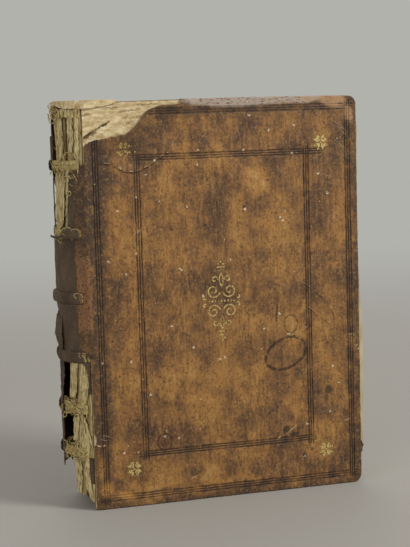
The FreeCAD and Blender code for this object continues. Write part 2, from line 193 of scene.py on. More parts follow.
def marks(tree, flat, spots, ring=0.0):
    # marks given one by one: x, z, half width, half height, turn, softness, strength
    # with ring, only a line of that share of the mark's size shows, round its edge
    mask = None
    for x, z, halfWidth, halfHeight, turn, softness, strength in spots:
        at = flat
        if turn:
            at = addNode(tree, "VectorRotate", {
                "rotation_type": "Y_AXIS", "Center": (x, 0, z), "Angle": math.radians(-turn),
            }, {"Vector": at})
        at = addNode(tree, "VectorMath", {
            "operation": "MULTIPLY_ADD", 1: (1 / halfWidth, 0, 1 / halfHeight),
            2: (-x / halfWidth, 0, -z / halfHeight),
        }, {0: at})
        reach = addNode(tree, "VectorMath", {"operation": "LENGTH"}, {0: at}).outputs["Value"]
        start, end = 1.0, 1.0 - softness
        if ring:
            reach = offBy(tree, reach, 1.0)
            start, end = ring, ring * (1 - softness)
        shade = addNode(tree, "MapRange", {
            "interpolation_type": "SMOOTHSTEP", "From Min": start, "From Max": end, "To Max": strength,
        }, {"Value": reach})
        if mask:
            shade = addNode(tree, "Math", {"operation": "MAXIMUM"}, {0: mask, 1: shade})
        mask = shade
    return mask


def strokes(lines):
    # straight marks as thin spots: from x, z to x, z, half width, strength
    spots = []
    for x1, z1, x2, z2, halfWidth, strength in lines:
        length = math.hypot(x2 - x1, z2 - z1) / 2
        turn = -math.degrees(math.atan2(z2 - z1, x2 - x1))
        spots.append(((x1 + x2) / 2, (z1 + z2) / 2, length, halfWidth, turn, 0.7, strength))
    return spots


def rustedCrumbs(tree, place, base, size, detail, roughness):
    # grain that has crumbled to rust, where the piece's rub attribute says
    rubbed = addNode(tree, "Attribute", {"attribute_name": "rub"})
    crumbs = mottle(tree, place, size, detail, (1, 1, 1), roughness)
    crumbs = addNode(tree, "Math", {"operation": "MULTIPLY"}, {0: rubbed.outputs["Fac"], 1: crumbs})
    return stain(tree, base, crumbs, 0.38, 0.56, "#a5744a", 0.75)


def finishMaterial(tree, base, field, rough, height, depth, strength, gloss):
    # rough holds two readings of the field and the roughness at each; depth is the bump's, in millimetres
    start, end, smoothest, roughest = rough
    roughness = addNode(tree, "MapRange", {
        "From Min": start, "From Max": end, "To Min": smoothest, "To Max": roughest,
    }, {"Value": field})
    bump = addNode(tree, "Bump", {"Strength": strength, "Distance": depth * mm}, {"Height": height})
    shader = addNode(tree, "BsdfPrincipled", {"IOR": 1.45, "Specular IOR Level": gloss}, {
        "Base Color": base, "Roughness": roughness, "Normal": bump,
    })
    addNode(tree, "OutputMaterial", links={"Surface": shader})


# Tooled lines: three to a side, in an outer and an inner frame
tooling = {
    "pitch": 2.0,
    "width": 1.5,              # twice the groove, because the heat darkened its sides
    "runOn": 3.7,
    "headRunOn": 12.0,
    "endFade": 1.0,
    "outerInset": 8.7,
    "innerLeft": 42.6,
    "innerRight": coverWidth - 45.7,
    "innerLow": 43.0,
    "innerHigh": bookHeight - 45.0,
}


def tooledLines(tree, place):
    # how near a point is to the closest of the lines
    inset = tooling["outerInset"]
    sides = []
    for left, right, low, high, headRunOn in (
        (inset, coverWidth - inset, inset, bookHeight - inset, 0.0),
        (tooling["innerLeft"], tooling["innerRight"], tooling["innerLow"], tooling["innerHigh"],
         tooling["headRunOn"]),
    ):
        run = tooling["runOn"] + tooling["pitch"]
        for x in (left, right):
            sides.append(("X", x, "Z", low - run, high + run))
        sides.append(("Z", low, "X", left - run, right + run))
        sides.append(("Z", high, "X", left - run, right + run + headRunOn))
    axes = addNode(tree, "SeparateXYZ", links={"Vector": place})
    mask = None
    for across, at, lengthwise, start, end in sides:
        middle = offBy(tree, axes.outputs[across], at)
        outer = offBy(tree, middle, tooling["pitch"])
        nearest = addNode(tree, "Math", {"operation": "MINIMUM"}, {0: middle, 1: outer})
        line = addNode(tree, "MapRange", {
            "interpolation_type": "SMOOTHSTEP",
            "From Min": tooling["width"] * 0.75, "From Max": tooling["width"] * 0.25,
        }, {"Value": nearest})
        reach = offBy(tree, axes.outputs[lengthwise], (start + end) / 2)
        within = addNode(tree, "MapRange", {
            "interpolation_type": "SMOOTHSTEP",
            "From Min": (end - start) / 2, "From Max": (end - start) / 2 - tooling["endFade"],
        }, {"Value": reach})
        side = addNode(tree, "Math", {"operation": "MULTIPLY"}, {0: line, 1: within})
        if mask:
            side = addNode(tree, "Math", {"operation": "MAXIMUM"}, {0: mask, 1: side})
        mask = side
    return mask


cover = {
    "cell": 3.2,
    "wave": 0.55,
    "waveSize": 70,
    "ripple": 0.28,
    "rippleSize": 16,
    "faceFade": (2.3, 5.0),    # depths between which the face's waves die out
    "arch": 1.0,               # the head edge stands a little higher in its middle
    "archReach": 40,
    "edgeWear": 0.45,
    "edgeWearSize": 6,
    "edgeWearReach": 3,
    "bareFrom": 280,           # above it the leather by the spine is gone
    "tornCorner": (95, 250, 3),    # x, height and depth that the tear's bending stays within
    "tearLift": 1.5,
    "tearLiftReach": 15,
    "tearJag": 0.7,
    "tearJagReach": 1.5,
    "tearJagSize": 2.5,
    "creaseStep": 0.9,
    "creaseReach": 10,
    # edge of the leather at its torn corner, and the fold below it, as x and z
    "tearLine": ((-3.6, 282.6), (1.2, 295.9), (5.7, 299.2), (14.4, 300.3), (25.3, 302.4), (35.7, 304.5),
                 (47.8, 315.5), (57.7, 323.7), (81.4, 325.6)),
    "creaseLine": ((14.4, 281.1), (23.1, 280.5), (26.7, 277.9), (30.8, 274.9), (35.3, 273.6), (41.1, 273.7),
                   (47.9, 275.6), (53.9, 279), (61.4, 283.7), (66.8, 287.4), (70.6, 288.7)),
}


# The covers' calf: vegetable tanned, sprinkled and polished, then worn, stained and scuffed.
# The places are those of the real cover's marks, in rows as marks and strokes above read them; one long dark
# patch along the tail edge is painted shade.
calf = {
    "tones": ((0.34, "#4f3829"), (0.44, "#735233"), (0.53, "#93683a"), (0.6, "#a87a40"), (0.7, "#b58c55")),
    "tanPatches": (
        (143, 262, 20, 20, 0, 0.9, 0.95), (129, 244, 14, 26, 0, 1.0, 0.55),
        (152, 226, 30, 18, 10, 1.0, 0.55), (92, 83, 30, 15, 10, 0.9, 0.8), (104, 97, 22, 15, 0, 1.0, 0.5),
        (117, 124, 22, 32, 0, 1.0, 0.3), (70, 222, 18, 40, 0, 1.0, 0.35), (28, 238, 12, 30, 0, 1.0, 0.55),
        (26, 210, 10, 22, 0, 1.0, 0.5), (207, 166, 18, 28, 0, 1.0, 0.45), (206, 100, 18, 42, 0, 1.0, 0.45),
        (30, 128, 11, 40, 0, 1.0, 0.4), (118, 15, 42, 8, 0, 0.9, 0.7), (182, 245, 12, 26, 0, 1.0, 0.3),
        (172, 80, 26, 22, 0, 1.0, 0.35), (24, 31, 12, 12, 0, 1.0, 0.45), (150, 190, 25, 20, 20, 1.0, 0.3),
        (70, 300, 9, 12, 0, 1.0, 0.4), (200, 30, 22, 12, 0, 1.0, 0.45), (60, 185, 14, 20, 0, 1.0, 0.3),
    ),
    "darkPatches": (
        (12, 272, 17, 42, 0, 0.8, 0.95), (45, 302, 34, 20, -24, 0.8, 0.85),
        (66, 316, 22, 12, -10, 0.8, 0.8), (90, 302, 16, 18, 0, 1.0, 0.4), (133, 62, 24, 14, 10, 0.9, 0.7),
        (81, 24, 20, 10, 0, 0.9, 0.7), (214, 286, 22, 42, 8, 0.9, 0.8), (132, 126, 26, 26, 0, 1.0, 0.45),
        (222, 60, 9, 60, 0, 1.0, 0.55), (76, 45, 40, 9, 5, 1.0, 0.45), (159, 40, 34, 10, 4, 1.0, 0.5),
        (172, 207, 18, 16, 0, 1.0, 0.4), (12, 90, 13, 70, 0, 0.9, 0.7), (160, 316, 70, 9, 0, 1.0, 0.5),
        (209, 191, 9, 6, -20, 1.0, 0.6), (60, 250, 6, 5, 30, 0.9, 0.7), (16, 224, 5, 4, 0, 0.9, 0.5),
        # the long band at 116, -1 along the tail edge is painted shade: the shadow at the cover's foot
        (84, 150, 20, 18, 0, 1.0, 0.3), (116, -1, 140, 6.5, 0, 0.4, 1.0), (225, 6, 13, 10, 0, 0.8, 0.9),
        (160, 155, 18, 30, 0, 1.0, 0.35), (100, 175, 12, 20, 0, 1.0, 0.3), (104, 215, 14, 22, 0, 1.0, 0.35),
    ),
    "inkMarks": (
        (204, 83, 5.5, 6, 0, 0.7, 0.85), (202, 76, 2.4, 5, 0, 0.8, 0.7), (194, 82, 7, 2.2, 0, 0.9, 0.6),
        (187, 213, 2.8, 4.2, 0, 0.7, 0.8), (214, 184, 2, 2.2, 0, 0.6, 0.7),
        (203.6, 123, 3.2, 2.4, -30, 0.7, 0.7), (109.4, 300, 2.2, 14, 0, 0.9, 0.35),
        (109.4, 262, 3.6, 30, 0, 1.0, 0.55), (109.2, 244, 2.4, 6, 0, 0.9, 0.6),
        (158.6, 151, 1.6, 11.5, 5, 0.7, 0.9), (132.7, 241.6, 2.0, 2.0, 0, 0.5, 0.95),
        (153.7, 262.5, 1.8, 1.6, 0, 0.5, 0.8), (98.3, 228, 1.7, 1.4, 0, 0.5, 0.8),
        (70, 226, 2.0, 1.5, 0, 0.5, 0.95), (160, 38, 5, 3.5, 0, 0.9, 0.6),
        (181, 28, 3.6, 4.2, 0, 0.7, 0.85), (188, 33, 3.2, 2.6, 0, 0.8, 0.75),
        (165, 52, 5, 4.2, 20, 0.5, 0.8), (172, 47.5, 5.5, 2.4, -8, 0.5, 0.85),
        (127, 50, 8, 3.5, -25, 0.8, 0.7), (143, 66, 6, 4, 40, 0.9, 0.6), (120, 12, 5, 3, 0, 0.9, 0.5),
        (185, 19, 10, 3, 6, 0.9, 0.5), (95, 60, 5, 4, 0, 0.9, 0.55), (22, 100, 9, 2.2, 6, 1.0, 0.4),
        (83, 243, 3.0, 1.2, 40, 0.8, 0.6), (85, 14, 6, 2.4, 0, 0.9, 0.5),
    ),
    "roundStains": ((58.9, 51.5, 6.2, 6.6, 0, 0.35, 0.65), (33, 48, 5.4, 4.6, 0, 0.4, 0.55),
                    (26.2, 151, 4.6, 4.6, 0, 0.5, 0.4)),
    "ringMarks": (
        (166.2, 117, 18.5, 12.5, -22, 0.8, 0.8), (133.2, 131.5, 2.6, 2.6, 0, 0.6, 0.75),
        (26.2, 151, 4.6, 4.9, 0, 0.6, 0.6), (58.9, 51.5, 6.2, 6.6, 0, 0.6, 0.8),
        (33, 48, 5.4, 4.6, 0, 0.6, 0.6), (171, 141.5, 6, 7.4, 0, 0.7, 0.6),
    ),
    "scratches": (
        (177.5, 177.7, 193.4, 167.8, 0.6, 0.8), (193.4, 167.8, 205.4, 155.4, 0.7, 0.8),
        (205.4, 155.4, 211.8, 139.9, 0.7, 0.7), (183.7, 156.5, 196, 146.2, 0.6, 0.8),
        (196, 146.2, 209, 136, 0.7, 0.8), (206, 133, 211, 122, 0.7, 0.7), (203, 118, 213, 123, 0.5, 0.6),
        (207, 127, 209.5, 113, 0.5, 0.6), (10, 19, 30, 26, 0.5, 0.5), (20, 26, 36, 17, 0.6, 0.5),
    ),
    "paleScratches": (
        (220.5, 128.8, 228.5, 128.7, 0.5, 0.8), (177.8, 178.9, 193.8, 169, 0.4, 0.4),
        (184.2, 157.6, 196.6, 147.2, 0.4, 0.5), (190, 62, 214, 68, 0.5, 0.35), (188, 64, 206, 72, 0.4, 0.3),
        (30, 62, 40, 72, 0.5, 0.4), (213, 55, 226, 56, 0.6, 0.5), (163, 47, 176, 56, 0.5, 0.9),
        (157, 44, 160, 47.5, 1.0, 0.95), (193, 268, 214, 262, 0.6, 0.35), (191, 277, 206, 264, 0.5, 0.35),
        (194, 262, 216, 256, 0.5, 0.35), (197, 296, 194, 306, 0.5, 0.5), (78, 17, 88, 21, 0.9, 0.6),
        (207, 300, 228, 282, 0.5, 0.4), (212, 308, 230, 292, 0.5, 0.4), (205, 310, 226, 300, 0.5, 0.35),
        (214, 299, 229, 272, 0.5, 0.3), (96, 298, 102, 303, 0.6, 0.5), (14, 40, 22, 45, 0.5, 0.5),
        (16, 35, 23, 39, 0.5, 0.4), (0.5, 54.2, 6, 52.4, 1.0, 1.0), (6, 52.4, 10, 53.6, 0.9, 0.9),
        (4, 63, 16, 59, 0.6, 0.5), (3, 60, 12, 56, 0.6, 0.5),
    ),
    "flecks": (
        (175.3, 284.2), (155.3, 303.7), (177.5, 306.8), (198.4, 266.2), (168.2, 236.5), (164, 231.5),
        (166, 229), (94.4, 289.4), (93.6, 277.5), (57.4, 282.8), (50.2, 271), (29, 277.4), (42, 253.9),
        (42.4, 226), (76.2, 193.7), (77.6, 192.4), (31.2, 192.1), (94.9, 170.2), (168.2, 133.2),
        (169.6, 133.4), (181.2, 27.3), (133.2, 239.6), (60.6, 249.4), (84, 244), (24, 45.5), (36, 45),
        (59, 56), (205, 64), (184, 55), (9, 121), (86, 128), (108, 116.5), (112, 118), (71, 54), (26, 243),
        (17, 203), (40, 208), (161, 151), (147, 139), (68, 147), (120, 199), (133, 288), (206, 250),
        (139, 316), (33, 120), (48, 92), (208, 103), (213, 88),
    ),
    "fleckSize": 0.95,
    "rustyCorner": ((5, 34, 6, 18, 0, 0.9, 0.55), (9, 16, 10, 11, 0, 0.9, 0.8), (24, 10, 17, 6, 12, 0.9, 0.8),
                    (31, 18, 5, 6, 0, 0.9, 0.6)),
    "liftedPatches": (
        (15, 24, 10, 4, 24, 0.7, 0.6), (7, 57, 7, 3.5, -10, 0.6, 0.5), (60, 12, 12, 2.5, 0, 0.8, 0.5),
    ),
    "paleHead": (
        (130, 331, 60, 9, 0, 0.35, 1.0), (186, 331, 22, 8, 0, 0.5, 1.0), (160, 328, 40, 5, 0, 0.6, 0.8),
    ),
    "tanHead": (
        (212, 327, 17, 8, 14, 0.5, 1.0), (226, 316, 6, 13, -20, 0.7, 0.9), (190, 329, 12, 4, 0, 0.7, 0.7),
        (219, 305, 10, 2, 40, 0.8, 0.5),
    ),
    "patchRagged": 7.0,
    "grimeReach": 20.0,
    "hingeDark": 0.85,
    "hingeFade": (17, 13),
    # rust along the joint: heights where it starts, is whole, and ends between the middle bands
    "rustMiddle": (135, 150, 205, 225),
    "rustTail": 0.8,
    "rustLeast": 0.3,
}


def laidMarks(tree, place, near, base):
    # the stains, scratches, worn edges and flecks that the front cover has at known places, and a painted
    # shadow and highlight along the crease of its torn corner
    flat = addNode(tree, "VectorMath", {"operation": "MULTIPLY", 1: (1, 0, 1)}, {0: near})
    for places, tint, amount in ((calf["inkMarks"], "#2b241e", 0.8), (calf["roundStains"], "#4a2f24", 0.75)):
        base = stain(tree, base, marks(tree, flat, places), 0, 1, tint, amount)
    faint = mottle(tree, place, 4)
    faint = addNode(tree, "MapRange", {"From Min": 0.36, "From Max": 0.5, "To Min": 0.3}, {"Value": faint})
    rings = marks(tree, flat, calf["ringMarks"], 0.16)
    rings = addNode(tree, "Math", {"operation": "MULTIPLY"}, {0: rings, 1: faint})
    base = stain(tree, base, rings, 0, 1, "#2f2018", 0.95)
    base = stain(tree, base, marks(tree, flat, calf["liftedPatches"]), 0, 1, "#523c35", 0.9)
    # the crease's lifted edge: painted shadow as a dark line just below it, painted highlight as a pale line
    # just above it, laid with the dark and pale scratches
    fold = list(zip(cover["creaseLine"][:-1], cover["creaseLine"][1:]))
    creaseShadow = [(x1, z1 - 0.5, x2, z2 - 0.5, 1.1, 0.9) for (x1, z1), (x2, z2) in fold]
    creaseHighlight = [(x1, z1 + 0.5, x2, z2 + 0.5, 0.6, 0.75) for (x1, z1), (x2, z2) in fold]
    for lines, edge, tint, amount in (
        (calf["scratches"], creaseShadow, "#33231a", 0.85), (calf["paleScratches"], creaseHighlight, "#d2b48a", 0.8),
    ):
        base = stain(tree, base, marks(tree, flat, strokes(lines) + strokes(edge)), 0, 1, tint, amount)
    for places, size, tint in (
        (calf["rustyCorner"], 1.2, "#c8924c"), (calf["paleHead"], 1.8, "#b7a697"),
        (calf["tanHead"], 2.2, "#b58d66"),
    ):
        field = mottle(tree, place, size, 5, (2.5, 1, 1), 0.75)
        field = addNode(tree, "MapRange", {"From Min": 0.36, "From Max": 0.5}, {"Value": field})
        field = addNode(tree, "Math", {"operation": "MULTIPLY"}, {0: marks(tree, flat, places), 1: field})
        base = stain(tree, base, field, 0, 1, tint, 0.85)
    nearest = None
    flat = jittered(tree, place, 1.2, 5, 2)
    for x, z in calf["flecks"]:
        fleck = addNode(tree, "VectorMath", {"operation": "DISTANCE", 1: (x, 0, z)}, {0: flat})
        reach = fleck.outputs["Value"]
        if nearest:
            reach = addNode(tree, "Math", {"operation": "MINIMUM"}, {0: nearest, 1: reach})
        nearest = reach
    return stain(tree, base, nearest, calf["fleckSize"], calf["fleckSize"] * 0.5, "#e9dcc0", 0.9)


def calfMaterial(name, withMarks):
    material, tree, place = startMaterial(name)
    swirl = mottle(tree, place, 7)
    centred = addNode(tree, "VectorMath", {"operation": "SUBTRACT", 1: (0.5, 0.5, 0.5)},
                      {0: swirl.outputs["Color"]})
    ragged = addNode(tree, "VectorMath", {"operation": "MULTIPLY_ADD", 1: (9, 9, 9)}, {0: centred, 2: place})
    near = addNode(tree, "VectorMath", {"operation": "MULTIPLY_ADD", 1: (2.2, 2.2, 2.2)},
                   {0: centred, 2: place})

    clouds = mottle(tree, ragged, 30, 7, (1, 1, 1.3), 0.66)
    base = addNode(tree, "ValToRGB", {"stops": calf["tones"]}, {"Fac": clouds})
    streaks = mottle(tree, place, 2.6, 4, (1, 1, 7))
    base = stain(tree, base, streaks, 0.5, 0.68, "#55391f", 0.5)
    base = stain(tree, base, streaks, 0.47, 0.32, "#b78a50", 0.35)
    spots = mottle(tree, ragged, 5.5, 5, (1, 1, 1.2), 0.7)
    base = stain(tree, base, spots, 0.52, 0.68, "#4c3623", 0.55)
    base = stain(tree, base, spots, 0.45, 0.33, "#b98c50", 0.35)

    # patches of bare tan and of dirt that the piece carries as attributes; on the front the dark ones also
    # hold a painted shadow along the tail edge
    broken = mottle(tree, ragged, 7, 5)
    broken = addNode(tree, "MapRange", {"From Min": 0.35, "From Max": 0.6, "To Min": 0.4}, {"Value": broken})
    for patch, end, tint, amount in (
        ("tan", 0.6, "#ad7c40", 0.8), ("tan", 1.1, "#cda567", 0.9), ("dark", 0.9, "#443529", 0.88),
    ):
        field = addNode(tree, "Attribute", {"attribute_name": patch})
        field = addNode(tree, "Math", {"operation": "MULTIPLY"}, {0: field.outputs["Fac"], 1: broken})
        base = stain(tree, base, field, end - 0.6 if end > 1 else 0.0, end, tint, amount)

    # the binder's sprinkling shows as small dark freckles
    freckles = mottle(tree, place, 1.7, 4, (1, 1, 1.3), 0.7)
    base = stain(tree, base, freckles, 0.53, 0.66, "#38271a", 0.7)
    base = stain(tree, base, freckles, 0.45, 0.33, "#c89c66", 0.4)

    base = rustedCrumbs(tree, place, base, 1.5, 4, 0.7)

    worn = mottle(tree, place, 11, 3)
    worn = addNode(tree, "MapRange", {"From Min": 0.35, "From Max": 0.6, "To Min": 0.25, "To Max": 0.95},
                   {"Value": worn})
    lines = tooledLines(tree, near)
    pressed = addNode(tree, "Math", {"operation": "MULTIPLY"}, {0: lines, 1: worn})
    base = stain(tree, base, pressed, 0.0, 1.0, "#33261d", 0.8)

    if withMarks:
        base = laidMarks(tree, place, near, base)

    # dust and lost grain, too small to place one by one
    for spacing, reach, tint, amount in (
        (13, 0.035, "#dcc7a0", 0.8), (8, 0.04, "#2c2018", 0.75), (5, 0.05, "#c9a878", 0.5),
    ):
        cells = addNode(tree, "TexVoronoi", {"Scale": 1 / spacing}, {"Vector": place})
        base = stain(tree, base, cells.outputs["Distance"], reach * 1.6, reach * 0.8, tint, amount)
    pores = mottle(tree, place, 1.1, 4, (1, 1, 1), 0.7)
    height = addNode(tree, "Math", {"operation": "SUBTRACT"}, {0: pores, 1: pressed})
    finishMaterial(tree, base, spots, (0.3, 0.7, 0.42, 0.62), height, 0.35, 0.7, 0.4)
    return material


def fibreMaterial(name, tones, size, stretch, depth, cracks=()):
    # paper, board and cord: long fibres of several tones
    material, tree, place = startMaterial(name)
    fibres = mottle(tree, place, size, 5, stretch, 0.65)
    base = addNode(tree, "ValToRGB", {"stops": tones}, {"Fac": fibres})
    base = stain(tree, base, mottle(tree, place, size * 9), 0.5, 0.75, tones[0][1], 0.45)
    if cracks:
        torn = marks(tree, jittered(tree, place, 3, 5), strokes(cracks))
        base = stain(tree, base, torn, 0, 0.8, "#5b452c", 0.9)
    finishMaterial(tree, base, fibres, (0.2, 0.8, 0.82, 0.95), fibres, depth, 0.8, 0.2)
    return material


def spineCalfMaterial():
    # calf of the spine: dry, nearly black with handling, rusty where the joint and the bands are rubbed
    material, tree, place = startMaterial("driedSpineCalf")
    clouds = mottle(tree, place, 14, 5, (1, 1, 2.5))
    base = addNode(tree, "ValToRGB", {"stops": ((0.3, "#443629"), (0.5, "#5b4a3a"), (0.7, "#6f5b47"))},
                   {"Fac": clouds})
    pores = mottle(tree, place, 1.3, 4, (1, 1, 1), 0.7)
    base = stain(tree, base, pores, 0.52, 0.66, "#33281f", 0.65)
    base = rustedCrumbs(tree, place, base, 1.6, 5, 0.75)
    cells = addNode(tree, "TexVoronoi", {"Scale": 1 / 7}, {"Vector": place})
    base = stain(tree, base, cells.outputs["Distance"], 0.07, 0.03, "#b79c78", 0.6)
    finishMaterial(tree, base, pores, (0.3, 0.7, 0.5, 0.75), pores, 0.4, 0.8, 0.35)
    return material


def goldMaterial():
    # gold leaf pressed into the calf, rubbed through to the leather on its high spots
    material, tree, place = startMaterial("wornGoldLeaf")
    loss = mottle(tree, place, 1.1, 4, (1, 1, 1), 0.75)
    kept = addNode(tree, "MapRange", {"From Min": 0.57, "From Max": 0.46}, {"Value": loss})
    flat = addNode(tree, "VectorMath", {"operation": "MULTIPLY", 1: (1, 0, 1)}, {0: place})
    faded = marks(tree, flat, ((33, 292, 14, 14, 0, 0.4, 0.5),))
    kept = addNode(tree, "Math", {"operation": "SUBTRACT", "use_clamp": True}, {0: kept, 1: faded})
    base = addNode(tree, "ValToRGB", {"stops": ((0.15, "#6b4f2b"), (0.4, "#b3924a"), (0.75, "#e6cf87"))},
                   {"Fac": kept})
    metal = addNode(tree, "MapRange", {"From Min": 0.3, "From Max": 0.7, "To Max": 0.55}, {"Value": kept})
    roughness = addNode(tree, "MapRange", {"From Min": 0.3, "From Max": 0.7, "To Min": 0.3, "To Max": 0.5},
                        {"Value": loss})
    bump = addNode(tree, "Bump", {"Strength": 0.6, "Distance": 0.2 * mm}, {"Height": loss})
    shader = addNode(tree, "BsdfPrincipled", links={
        "Base Color": base, "Metallic": metal, "Normal": bump, "Roughness": roughness,
    })
    addNode(tree, "OutputMaterial", links={"Surface": shader})
    return material


def leavesMaterial():
    # rag paper seen at its edges: leaves drawn 0.9 mm thick, because real ones are too fine to show
    material, tree, place = startMaterial("ragPaperLeaves")
    sway = mottle(tree, place, 30, 2)
    swayed = addNode(tree, "VectorMath", {"operation": "MULTIPLY_ADD", 1: (5, 5, 5)},
                     {0: sway.outputs["Color"], 2: place})
    layers = mottle(tree, swayed, 0.9, 3, (26, 1, 26), 0.7)
    base = addNode(tree, "ValToRGB", {
        "stops": ((0.3, "#7d6840"), (0.45, "#b9a26d"), (0.58, "#d8c593"), (0.75, "#e9dcb2")),
    }, {"Fac": layers})
    base = stain(tree, base, mottle(tree, place, 9, 5, (1, 1, 1), 0.7), 0.52, 0.7, "#7d6440", 0.6)
    laid = addNode(tree, "ValToRGB", {"stops": ((0.3, "#bfae85"), (0.5, "#cfc19b"), (0.7, "#d8ccaa"))},
                   {"Fac": mottle(tree, place, 3, 5, (1, 1, 5))})
    laid = stain(tree, laid, mottle(tree, place, 24, 5), 0.52, 0.72, "#a58d5e", 0.5)
    facing = addNode(tree, "SeparateXYZ", links={"Vector": addNode(tree, "NewGeometry").outputs["Normal"]})
    facing = addNode(tree, "Math", {"operation": "ABSOLUTE"}, {0: facing.outputs["Y"]})
    facing = addNode(tree, "MapRange", {"From Min": 0.9, "From Max": 0.97}, {"Value": facing})
    base = addNode(tree, "MixRGB", links={"Fac": facing, "Color1": base, "Color2": laid})
    # painted shade: the paper darkens the deeper it lies in the valleys between the folds
    valleyShade = addNode(tree, "Attribute", {"attribute_name": "dirt"})
    base = stain(tree, base, valleyShade.outputs["Fac"], 0.0, 1.0, "#32281b", 0.9)
    finishMaterial(tree, base, layers, (0.2, 0.8, 0.8, 0.95), layers, 0.5, 0.9, 0.15)
    return material


# Calfskin tanned with bark, paste-washed, sprinkled with iron water and polished: a warm brown and
# freckled ground with a low sheen, and a nearly black one on the handled spine
frontCalf = calfMaterial("sprinkledCalfFront", True)
backCalf = calfMaterial("sprinkledCalfBack", False)
spineCalf = spineCalfMaterial()

# Gold leaf laid on glair and pressed in with a hot tool: a broken pale yellow glint
goldLeaf = goldMaterial()

# Rag paper of the leaves, from linen pulp, gone cream and grimy at its edges, with painted shade in the
# valleys between the folds
leafPaper = leavesMaterial()

# Pasteboard, sheets of waste paper pasted up and pressed: bare, it is straw yellow and splits in layers
boardCracks = (
    (-2, 300.5, 10, 307, 2.2, 1.0), (8, 307, 24, 315.5, 1.5, 0.9), (2, 303, 14, 308, 3.0, 0.6),
    (20, 321, 52, 324, 0.9, 0.5), (26, 316, 60, 318, 0.9, 0.4), (14, 325, 34, 326, 1.0, 0.5),
    (36, 327, 70, 327.5, 0.9, 0.6), (30, 310, 44, 314, 0.9, 0.4), (-2, 318, 8, 322, 1.6, 0.5),
)
boardTones = ((0.32, "#ab8d5e"), (0.5, "#d6bf92"), (0.66, "#ecdcb4"))
pasteboard = fibreMaterial("tornPasteboard", boardTones, 1.3, (5, 1, 2), 0.6, boardCracks)

# Laid paper of the pastedowns, made on a wire mould: even cream with faint upright streaks
endpaperTones = ((0.3, "#b3a07a"), (0.5, "#cbbc98"), (0.7, "#d8cbaa"))
endpaper = fibreMaterial("laidEndpaper", endpaperTones, 1.6, (1, 1, 4), 0.1)

# Spine lining, waste paper soaked in animal glue: brittle, streaked yellow and brown along its grain
liningTones = ((0.34, "#574527"), (0.42, "#9c8655"), (0.51, "#cdb986"), (0.68, "#e8d9ab"))
liningPaper = fibreMaterial("brittleLining", liningTones, 1.1, (1, 1, 6), 0.5)

# Hemp cord and thread, twisted from bast fibre: matt straw colour, frayed into hairs
hempTones = ((0.3, "#8f7a4c"), (0.5, "#c6b179"), (0.7, "#e0cf9c"))
hempCord = fibreMaterial("frayedHemp", hempTones, 0.8, (3, 3, 1), 0.4)
print("materials done")


# Meshes

def selectOnly(piece):
    bpy.ops.object.select_all(action="DESELECT")
    piece.select_set(True)
    bpy.context.view_layer.objects.active = piece


def copyOfNode(nodeName, pieceName):
    # a copy of a solid, its loose triangles joined and its flat faces made whole, left in edit mode
    source = frame["nodes"][nodeName]
    piece = source.copy()
    piece.data = source.data.copy()
    piece.name = pieceName
    piece.data.name = pieceName
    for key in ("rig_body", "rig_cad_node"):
        del piece[key]
    piece.parent = None
    bpy.context.scene.collection.objects.link(piece)
    selectOnly(piece)
    bpy.ops.mesh.customdata_custom_splitnormals_clear()
    bpy.ops.object.mode_set(mode="EDIT")
    bpy.ops.mesh.select_all(action="SELECT")
    bpy.ops.mesh.remove_doubles(threshold=0.000002)
    bpy.ops.mesh.dissolve_limited(angle_limit=math.radians(0.3))
    return piece


def cutAcross(axis, low, high, step):
    # cuts the mesh in edit mode at even steps in bench millimetres, so that it can bend
    normal = Vector((0, 0, 0))
    normal[axis] = 1
    count = int((high - low) / step)
    for number in range(1, count + 1):
        place = [0, 0, 0]
        place[axis] = low + number * step
        bpy.ops.mesh.select_all(action="SELECT")
        bpy.ops.mesh.bisect(plane_co=fromBench(*place), plane_no=normal)


def bendPoints(piece, rule):
    # rule gives each point's move in bench millimetres
    for vertex in piece.data.vertices:
        vertex.co += Vector(rule(*toBench(vertex.co))) * mm


def writeAttribute(piece, name, rule):
    # rule gives each point's value from its place in bench millimetres
    field = piece.data.attributes.new(name, "FLOAT", "POINT")
    for vertex in piece.data.vertices:
        field.data[vertex.index].value = rule(*toBench(vertex.co))


def finishPiece(piece, body, material, replaced=(), angle=60):
    # angle is the sharpest bend that is still shaded smooth, in degrees
    selectOnly(piece)
    bpy.ops.object.shade_smooth_by_angle(angle=math.radians(angle))
    piece.data.materials.clear()
    piece.data.materials.append(material)
    if body:
        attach(piece, body)
    if replaced:
        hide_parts(*replaced)
    return piece


def distanceToLine(x, z, points):
    # to the nearest stretch of a line of x, z points, and whether the point is above it
    best = 1e9
    above = False
    for (x1, z1), (x2, z2) in zip(points[:-1], points[1:]):
        run = (x2 - x1) ** 2 + (z2 - z1) ** 2
        share = min(1, max(0, ((x - x1) * (x2 - x1) + (z - z1) * (z2 - z1)) / run))
        reach = math.hypot(x - x1 - share * (x2 - x1), z - z1 - share * (z2 - z1))
        if reach < best:
            best = reach
            above = (x2 - x1) * (z - z1) - (z2 - z1) * (x - x1) > 0
    return best, above


def coverFace(x, z):
    # how far the face of a cover stands out, the same for its leather, board and gold
    out = cover["wave"] * (0.6 + wavy(x, 0, z, cover["waveSize"]))
    return out + cover["ripple"] * wavy(x, 40, z, cover["rippleSize"])


def coverMove(x, depth, z):
    # depth is from the cover's own face; outwards is negative
    out = coverFace(x, z) * (1 - ramp(depth, *cover["faceFade"]))
    archShare = 1 - ((x - coverWidth / 2) / (coverWidth / 2)) ** 2
    up = cover["arch"] * archShare * ramp(z, bookHeight - cover["archReach"], bookHeight)
    reach = cover["edgeWearReach"]
    nearEdge = max(1 - ramp(coverWidth - x, 0, reach), 1 - ramp(bookHeight - z, 0, reach))
    if z < cover["bareFrom"]:
        nearEdge = max(nearEdge, 1 - ramp(x, 0, reach - 1))
    wear = cover["edgeWear"] * nearEdge
    size = cover["edgeWearSize"]
    sideways = wear * wavy(x, depth, z, size)
    up += wear * wavy(x, depth + 30, z, size)
    return sideways, -out, up


